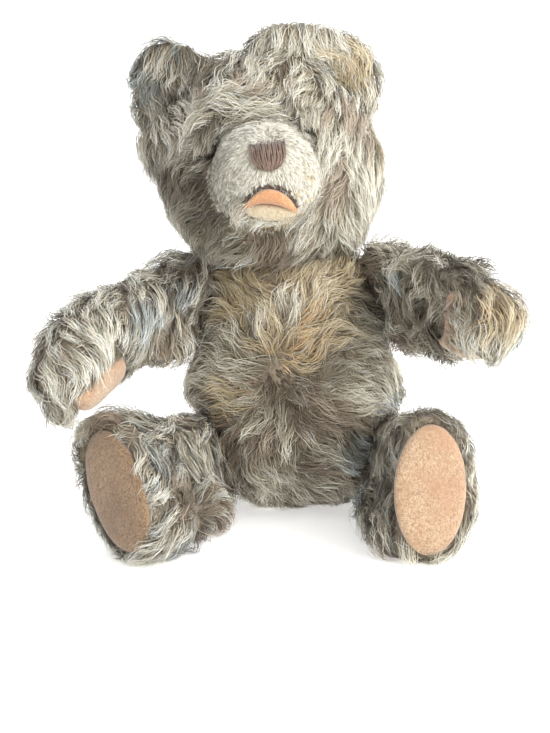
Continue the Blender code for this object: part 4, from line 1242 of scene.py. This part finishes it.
def sheet_over(name, spots, thickness, material, columns):
    """A closed slab over a grid of places: each is an outer point and the way it faces."""
    outer = np.array([s[0] for s in spots])
    inner = outer - np.array([s[1] for s in spots]) * thickness
    rows = len(spots) // columns
    faces = []
    for r in range(rows - 1):
        for c in range(columns - 1):
            a = r * columns + c
            quad = (a, a + 1, a + columns + 1, a + columns)
            faces.append(quad)
            faces.append(tuple(i + len(outer) for i in quad[::-1]))
    rim = list(range(columns)) + [r * columns + columns - 1 for r in range(1, rows)]
    rim += [(rows - 1) * columns + c for c in range(columns - 2, -1, -1)]
    rim += [r * columns for r in range(rows - 2, 0, -1)]
    for i, a in enumerate(rim):
        b = rim[(i + 1) % len(rim)]
        faces.append((b, a, a + len(outer), b + len(outer)))
    mesh = mesh_of(name, list(outer) + list(inner), faces)
    made = bmesh.new()
    made.from_mesh(mesh)
    bmesh.ops.remove_doubles(made, verts=made.verts, dist=1e-5)
    bmesh.ops.recalc_face_normals(made, faces=made.faces)
    made.to_mesh(mesh)
    made.free()
    piece = new_object(name, mesh)
    mesh.materials.append(material)
    return piece


thread = thread_material("nose_thread_brown", (80, 63, 54), (160, 134, 118))
dark_thread = thread_material("mouth_thread_dark", (62, 46, 38), (126, 100, 82))


def on_head(place, out=0.0):
    """The place on the head's skin that is nearest, moved out by some mm."""
    spot, corners = skins["head"].nearest(place)
    return spot + unit(skins["head"].normal[corners].mean(axis=0)) * out * MM


def nose_half(t):
    """Half the nose's width at a share of its height, from the top."""
    return 7.5 - 4.3 * smooth(t, 0.4, 1.15)


NOSE_TOP, NOSE_LOW = 16.3, 5.2  # up from the muzzle's middle, in mm


def make_nose():
    """Upright satin stitches over a padded patch that narrows downwards."""
    paths = []
    stitches = 18
    for i in range(stitches):
        share = 2 * i / (stitches - 1) - 1
        top = NOSE_TOP + 0.5 * share + rng.normal(0, 0.45)
        bottom = NOSE_LOW + 1.4 * abs(share) ** 1.5 + rng.normal(0, 0.7)
        path = []
        for k in range(9):
            t = k / 8
            up_by = top + (bottom - top) * t
            across_by = nose_half((NOSE_TOP - up_by) / (NOSE_TOP - NOSE_LOW)) * share
            across_by += 0.18 * math.sin(5 * t + 2.3 * i)
            out = 1.3 - 2.6 * (abs(2 * t - 1) ** 5) - 0.5 * share * share
            path.append(face_place(across_by, up_by, muzzle_reach(across_by, up_by) + out))
        paths.append(path)
    piece = tubes("nose_stitches", paths, 0.00044, thread, "head")
    spots = []
    for r in range(9):
        for c in range(9):
            t, share = r / 8, c / 4 - 1
            up_by = NOSE_TOP - 0.4 + (NOSE_LOW + 0.8 - NOSE_TOP) * t
            across_by = (nose_half(t) - 0.3) * share
            out = 0.8 - 1.6 * max(abs(2 * t - 1), abs(share)) ** 4
            spots.append((face_place(across_by, up_by, muzzle_reach(across_by, up_by) + out), OUT))
    backing = sheet_over("nose_padding", spots, 0.003, dark_thread, 9)
    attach(backing, "head")
    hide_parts("nose_embroidery")


def make_mouth():
    """The felt roof of the open mouth, from its upper edge down behind the lower lip."""
    columns, rows, spots = 41, 15, []
    for r in range(rows):
        t = r / (rows - 1)
        for c in range(columns):
            x = MOUTH_HALF * math.sin(math.pi / 2 * (2 * c / (columns - 1) - 1)) * 0.995
            top, low = arch(x) + 0.4, crease(x) - 1.6
            fall = 1 - (x / MOUTH_HALF) ** 2
            swell = 1.5 * math.sin(math.pi * min(1, t * 1.25)) * fall
            out = -0.5 + swell - 1.9 * smooth(t, 0.5, 1.0) * fall
            spots.append((mouth_place(x, top + (low - top) * t, out), MOUTH_WAY))
    roof = sheet_over("mouth_roof_felt", spots, 0.0014, felt_inside, columns)
    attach(roof, "head")
    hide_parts("mouth_felt")


def lip_points():
    """The plush lower lip: a lens-shaped bulge under the crease."""
    points, faces = [], []
    rings, sides = 21, 16
    for r in range(rings):
        x = -(MOUTH_HALF - 0.2) * math.cos(math.pi * (r + 0.5) / rings)
        fall = math.sqrt(max(0.02, 1 - (x / MOUTH_HALF) ** 2))
        middle, tall = (crease(x) + lip_edge(x)) / 2, (crease(x) - lip_edge(x)) / 2 + 0.3
        for s in range(sides):
            angle = math.tau * s / sides
            out = 3.4 * fall * math.sin(angle)
            points.append(mouth_place(x, middle + tall * math.cos(angle), -1.5 + out))
    for r in range(rings - 1):
        for s in range(sides):
            a, b = r * sides + s, r * sides + (s + 1) % sides
            faces.append((a, b, b + sides, a + sides))
    last = (rings - 1) * sides
    faces += [tuple(range(sides))[::-1], tuple(range(last, last + sides))]
    return np.array(points), faces


def make_stitches():
    """The brown, uneven stitches that edge the mouth: along its upper edge, its corners and its lip."""
    paths, loose, step = [], 0.3, 0.6
    # Each edge, how far off it the stitches sit and how far they stray from there, in mm, and how many.
    for edge, off, deep, count in ((arch, 0.4, 1.1, 40), (lip_edge, -0.9, 0.9, 50)):
        for k in range(count):
            x = (MOUTH_HALF + 0.3) * math.sin(math.pi / 2 * (2 * k / (count - 1) - 1))
            inner = x * 0.97
            y = edge(max(-MOUTH_HALF, min(MOUTH_HALF, inner))) + off
            y += rng.uniform(-0.3, 1.0) * math.copysign(deep, off)
            rise = edge(min(inner + step, MOUTH_HALF)) - edge(max(inner - step, -MOUTH_HALF))
            slope = np.array((2 * step, rise))
            slope = slope / np.linalg.norm(slope)
            angle = rng.normal(0, loose) + (0.0 if rng.random() < 0.8 else 1.2)
            a = slope[0] * math.cos(angle) - slope[1] * math.sin(angle)
            b = slope[0] * math.sin(angle) + slope[1] * math.cos(angle)
            centre = on_head(mouth_place(x, y, 0), 0.9 + 0.7 * rng.random())
            way = (MOUTH_SIDE * a + MOUTH_TOP * b) * MM
            half = rng.uniform(0.9, 2.0)
            normal = unit(centre - on_head(centre, -1.0))
            paths.append([centre + way * half * t - normal * 0.0007 * t * t for t in (-1, -0.5, 0, 0.5, 1)])
    tubes("mouth_stitches", paths, 0.00026, dark_thread, "head", 5)


def on_muzzle(places):
    """How far across and up the muzzle places in metres are, in mm."""
    apart = places / MM - np.array(MUZZLE_BASE)
    return apart @ LEVEL, apart @ UP


def make_muzzle_pile():
    """The dense clipped pile of the muzzle, combed from the nose's bridge outwards and down."""
    skin = skins["head"]
    across_by, up_by = on_muzzle(skin.points)
    away = np.stack([across_by, up_by - 14], axis=1)
    away = unit(away) * smooth(np.linalg.norm(away, axis=1), 0, 8)[:, None]
    field = away[:, :1] * LEVEL + away[:, 1:] * UP * 0.9
    field = skin.along(field - UP * 0.35 - LEVEL * 0.1)

    def allowed(places):
        a, b = on_muzzle(places)
        t = (NOSE_TOP - b) / (NOSE_TOP - NOSE_LOW)
        nose = (t > 0.02) & (t < 0.95) & (np.abs(a) < nose_half(t) - 0.4)
        clipped = distance_to(muzzle_tree, places) < CLIPPED_END * MM
        return clipped & ~nose & ~in_mouth(places, 0.5)[0]

    def fringed(places):
        a, b = on_muzzle(places)
        over_nose = (b > NOSE_TOP + 0.2) & (b < NOSE_TOP + 3.2) & (np.abs(a) < 8)
        return over_nose & (places @ OUT > MUZZLE_FRONT)

    locks = Locks(skin, field, 1.35, 3.4, 2.6, allowed, tilt=0.5, steps=5)
    a, b = on_muzzle(locks.places[:, 2])
    # Painted shade: the muzzle's pile is made darker towards the bear's right and downwards, the side away
    # from the key light.
    locks.shade = np.clip(0.97 - 0.6 * smooth(-a - b * 0.6, -4, 30) + rng.normal(0, 0.08, len(a)), 0, 1)
    locks.family[:] = FAMILY["velvet"]
    yellowed = 0.6 * smooth(a - b * 0.9, 8, 24) * (1 - smooth(a, 14, 22))
    locks.family[rng.random(len(a)) < yellowed] = FAMILY["blond"]
    locks.clump[:] = rng.uniform(0.0, 0.4, len(a))
    look = dict(PILE_LOOK, root=0.7, wave=7.0, wave_depth=0.08, stray=0.03, stray_lift=1.0, width=0.36)
    strands("muzzle_pile", "head", locks, 9, 4, look)
    down = skin.along(np.tile(-UP, (len(skin.points), 1)))
    fringe = Locks(skin, down, 1.5, 4.6, 2.0, fringed, tilt=0.3)
    fringe.shade = np.clip(0.85 + rng.normal(0, 0.08, len(fringe.shade)), 0, 1)
    fringe.family[:] = FAMILY["velvet"]
    strands("nose_fringe", "head", fringe, 9, 5, look)


def make_brows():
    """The long locks that hang over the eyes from above and leave a dark slit of each."""
    for eye, sign, side in zip(EYES, (-1, 1), ("right", "left")):
        places, count = [], 16
        for k in range(count):
            across_by = (-3 + 11 * k / (count - 1)) * sign + rng.normal(0, 0.6)
            root = on_head(eye + (LEVEL * across_by * 0.9 + UP * rng.uniform(6.5, 16)) * MM)
            low = rng.uniform(-5.5, -1.5) if across_by * sign > 0 else rng.uniform(1.5, 4.0)
            end = eye + (LEVEL * (across_by - 2.5) + UP * low + OUT * 5.5) * MM
            middle = (root + end) / 2 + OUT * 3.4 * MM
            t = np.linspace(0, 1, 9)[:, None]
            places.append((1 - t) ** 2 * root + 2 * t * (1 - t) * middle + t**2 * end)
        locks = object.__new__(Locks)
        normals = np.tile(OUT, (count, 9, 1))
        lift = rng.uniform(0.8, 2.4, count) * MM
        locks.settle(over_eyes(np.array(places)), normals, np.full(count, 15 * MM), lift)
        locks.tint([], 0.68 if side == "right" else 0.95)
        locks.family[:] = FAMILY["plain"]
        look = dict(PILE_LOOK, root=1.2, wave_depth=0.7, stray=0.02)
        strands(f"{side}_brow_pile", "head", locks, 15, KNOTS, look)


def make_lip():
    points, faces = lip_points()
    lip = Skin(points, faces)
    lip.relax(1)
    lip.ready()
    made = lip.object("lower_lip_plush", lip_plush)
    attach(made, "head")
    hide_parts("lower_lip")
    field = lip.along(np.tile(MOUTH_WAY * 0.8 - MOUTH_TOP * 0.6, (len(lip.points), 1)))
    locks = Locks(lip, field, 1.1, 1.5, 0.5, tilt=0.4, steps=4)
    locks.shade = np.clip(0.88 + rng.normal(0, 0.06, len(locks.shade)), 0, 1)
    locks.family[:] = np.where(rng.random(len(locks.shade)) < 0.6, FAMILY["blond"], FAMILY["velvet"])
    look = dict(PILE_LOOK, root=0.5, wave=6.0, wave_depth=0.05, stray_lift=0.3, width=0.3)
    strands("lower_lip_pile", "head", locks, 7, 3, look)


MUZZLE_FRONT = float(np.array(MUZZLE_BASE) @ OUT + 20) * MM
lip_plush = skin_material("lip_plush", (176, 156, 124), (228, 212, 180))
felt_inside = felt_material(
    "mouth_felt_orange", (192, 132, 88), (214, 160, 110), (228, 186, 140), (184, 104, 80)
)
make_nose()
make_mouth()
make_lip()
make_stitches()
make_muzzle_pile()
make_brows()


# ---------------------------------------------------------------- felt pads

PAW_FLUFF = [(66, -84, 88, 12, 6.0), (82, -90, 86, 12, 8.0)]  # as FLUFF
PAW_BARE = 0.22  # the share of the left pad's height, from below, that grows no pile
PAD_THICK, PAD_INSET = 0.0028, 0.0002  # the felt's thickness and its way in from the CAD pad's rim


def pad_spot(share, turn, middle, half):
    """A place on a pad's oval, along and across it."""
    angle = math.tau * turn
    long_by = (half[0] - PAD_INSET) * share * math.cos(angle)
    return middle[0] + long_by, middle[1] + (half[1] - PAD_INSET) * share * math.sin(angle)


def make_pad(body, node):
    """A felt pad, pulled over the stuffing: a crowned oval with a rolled edge and shallow dents.
    What it gives back is the skin of its top, for the pile that may grow on it."""
    (long_way, wide_way, facing), middle, half = pad_frame(node)
    around = tree_of([node, f"{body}_cover"])
    rings, sides = 15, 64
    above = middle[2] + half[2] + 0.02
    heights = np.zeros((rings + 1, sides))
    for r in range(rings + 1):
        for k in range(sides):
            long_by, wide_by = pad_spot(r / rings, k / sides, middle, half)
            start = long_way * long_by + wide_way * wide_by + facing * above
            hit = around.ray_cast(start, -facing)[0]
            heights[r, k] = hit.dot(facing) if hit else np.nan
    heights = np.where(np.isnan(heights), np.nanmean(heights), heights)
    for _ in range(12):
        even = (np.roll(heights, 1, 1) + np.roll(heights, -1, 1)) / 2
        even[1:-1] = (even[1:-1] * 2 + heights[2:] + heights[:-2]) / 4
        heights = heights * 0.4 + even * 0.6
        heights[0] = heights[1].mean()
    points, faces = [], []
    for thick in (0.0, PAD_THICK):
        for r in range(rings + 1):
            for k in range(sides):
                share = r / rings
                long_by, wide_by = pad_spot(share, k / sides, middle, half)
                height = heights[r, k] + 0.0003 + 0.0007 * (1 - share**2) - 0.0012 * share**10 - thick
                points.append(long_way * long_by + wide_way * wide_by + facing * height)
    layer = (rings + 1) * sides
    top = [np.array(p) for p in points[:layer]]
    for r in range(rings):
        for k in range(sides):
            a, b = r * sides + k, r * sides + (k + 1) % sides
            faces.append((a, a + sides, b + sides, b))
            faces.append((layer + a, layer + b, layer + b + sides, layer + a + sides))
    rim = rings * sides
    for k in range(sides):
        a, b = rim + k, rim + (k + 1) % sides
        faces.append((b, a, layer + a, layer + b))
    made = new_object(f"{node}_felt", mesh_of(f"{node}_felt", points, faces))
    welded = bmesh.new()
    welded.from_mesh(made.data)
    bmesh.ops.remove_doubles(welded, verts=welded.verts, dist=1e-6)
    bmesh.ops.recalc_face_normals(welded, faces=welded.faces)
    places = np.array([v.co for v in welded.verts])
    dents = noise_at(places, 70.0, 3.0) * 0.5 + noise_at(places, 190.0, 8.0) * 0.2
    for vertex, dent in zip(welded.verts, dents):
        vertex.co += facing * (dent * MM)
        vertex.co.z = max(vertex.co.z, 0.0004)
    welded.to_mesh(made.data)
    welded.free()
    # The right foot pad, which faces away from the key light, takes the darker copy of the felt: painted
    # shade.
    made.data.materials.append(felt_painted_shade if node == "right_foot_pad" else felt)
    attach(made, body)
    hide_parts(node)
    return Skin(np.array(top), [f for f in faces if max(f) < layer]).ready()


def make_paw_pile(skin):
    """What the left paw shows: matted, bleached pile that hangs over the front of its pad."""
    low, high = skin.points[:, 2].min(), skin.points[:, 2].max()
    rows = COMB["left_arm"] + COMB_BACK["left_arm"]

    def allowed(places):
        return places[:, 2] > low + PAW_BARE * (high - low)

    locks = Locks(skin, comb_field(skin, rows, 0.4), 4.0, 15.0, 4.5, allowed, fluff=PAW_FLUFF)
    locks.tint(PATCHES["left_arm"], 0.66)
    strands("left_paw_pile", "left_arm", locks, 21, KNOTS, PILE_LOOK)


pad_skins = {body: make_pad(body, node) for body, node in PADS.items()}
make_paw_pile(pad_skins["left_arm"])


# ---------------------------------------------------------------- CAD nodes that stay


def hardboard_material():
    n = Nodes("pressed_hardboard")
    grain = n.noise(420.0, 5.0, 0.7, n.place())
    colour = n.ramp(grain, [(0.3, linear((104, 74, 46))), (0.7, linear((150, 114, 76)))])
    return n.finish(colour, 0.75, grain, 0.0003)


def steel_material():
    n = Nodes("dull_pin_steel")
    stains = n.noise(180.0, 5.0, 0.6, n.place())
    colour = n.ramp(stains, [(0.35, linear((112, 98, 84))), (0.6, linear((170, 170, 168)))])
    roughness = n.math("ADD", n.math("MULTIPLY", stains, 0.4), 0.25)
    return n.finish(colour, roughness, stains, 0.0001, Metallic=1.0)


def eye_material():
    """Dark brown glass, with faint paler clouds in it."""
    n = Nodes("eye_glass_brown")
    clouds = n.noise(300.0, 3.0, 0.5, n.place())
    colour = n.ramp(clouds, [(0.3, linear((14, 9, 7))), (0.7, linear((46, 30, 18)))])
    return n.finish(colour, 0.12, Coat_Weight=0.6, Coat_Roughness=0.05)


def make_eye(side):
    """A blown glass eye: a smooth dome over a flatter back, on its wire shank's seat."""
    low, high = (Vector(c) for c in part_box(f"{side}_eye"))
    centre, radius = (low + high) / 2, (high.z - low.z) / 2
    made = bmesh.new()
    bmesh.ops.create_icosphere(made, subdivisions=4, radius=radius)
    for vertex in made.verts:
        out = vertex.co.dot(FACE) / radius
        if out < 0:
            vertex.co -= FACE * (vertex.co.dot(FACE) * 0.25)
        vertex.co += centre
    mesh = bpy.data.meshes.new(f"{side}_eye_glass")
    made.to_mesh(mesh)
    made.free()
    mesh.polygons.foreach_set("use_smooth", [True] * len(mesh.polygons))
    mesh.materials.append(eye_glass)
    eye = new_object(f"{side}_eye_glass", mesh)
    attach(eye, "head")
    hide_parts(f"{side}_eye")


eye_glass = eye_material()
for side in ("right", "left"):
    make_eye(side)

# A word in the names of the CAD nodes that stay, and what they are made of.
KEPT = [
    ("disc", hardboard_material()), ("washer", steel_material()), ("cotter_pin", steel_material()),
    ("growler", hardboard_material()),
]
for name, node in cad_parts.items():
    for word, material in KEPT:
        if word in name:
            node.data.materials.clear()
            node.data.materials.append(material)


# ---------------------------------------------------------------- floor, light and camera


def make_floor():
    """A pale sweep: floor, bend and backdrop in one."""
    points, faces = [], []
    bend_from, bend, level = 0.9, 0.6, -0.0006
    profile = [(-1.6, level), (bend_from, level)]
    for angle in np.linspace(0.1, math.pi / 2, 12):
        profile.append((bend_from + bend * math.sin(angle), bend * (1 - math.cos(angle)) + level))
    profile.append((1.5, 2.6))
    for y, z in profile:
        points += [(-2.4, y, z), (2.4, y, z)]
    for i in range(len(profile) - 1):
        faces.append((2 * i, 2 * i + 1, 2 * i + 3, 2 * i + 2))
    floor = new_object("studio_sweep", mesh_of("studio_sweep", points, faces))
    n = Nodes("pale_paper")
    paper = n.ramp(n.noise(3.0), [(0, (0.9, 0.9, 0.9, 1)), (1, (0.94, 0.94, 0.94, 1))])
    floor.data.materials.append(n.finish(paper, 0.9, Emission_Color=(1, 1, 1, 1), Emission_Strength=0.5))


def soft_light(name, place, target, size, power, colour):
    """A round lamp of some metres and watts that faces the target."""
    data = bpy.data.lights.new(name, "AREA")
    data.shape, data.size, data.energy, data.color = "DISK", size, power, colour
    made = new_object(name, data)
    made.location = place
    made.rotation_euler = (Vector(target) - Vector(place)).to_track_quat("-Z", "Y").to_euler()


bpy.context.scene.view_settings.view_transform = "Standard"
# What the camera looks at, from how far and how high.
TARGET, DISTANCE, ELEVATION = Vector((-0.009, 0, 0.0695)), 0.7, math.radians(10)
make_floor()
soft_light("key_light", (1.1, -0.7, 1.0), TARGET, 1.9, 37.0, (1.0, 0.985, 0.955))
soft_light("fill_light", (-1.0, -1.0, 0.9), TARGET, 1.4, 2.0, (0.9, 0.96, 1.0))
soft_light("rim_light", (-0.2, 1.0, 1.3), TARGET, 1.0, 8.0, (0.93, 0.97, 1.0))

world = bpy.data.worlds.new("studio")
bpy.context.scene.world = world
world.use_nodes = True
world.node_tree.nodes["Background"].inputs[0].default_value = (1.0, 1.0, 1.0, 1.0)
world.node_tree.nodes["Background"].inputs[1].default_value = 0.48

lens = bpy.data.cameras.new("camera")
lens.lens, lens.sensor_width, lens.sensor_fit = 70.0, 36.0, "AUTO"
lens.clip_start, lens.clip_end = 0.01, 20.0
camera = new_object("camera", lens)
camera.location = TARGET + Vector((0, -math.cos(ELEVATION), math.sin(ELEVATION))) * DISTANCE
camera.rotation_euler = (math.pi / 2 - ELEVATION, 0, 0)
bpy.context.scene.camera = camera
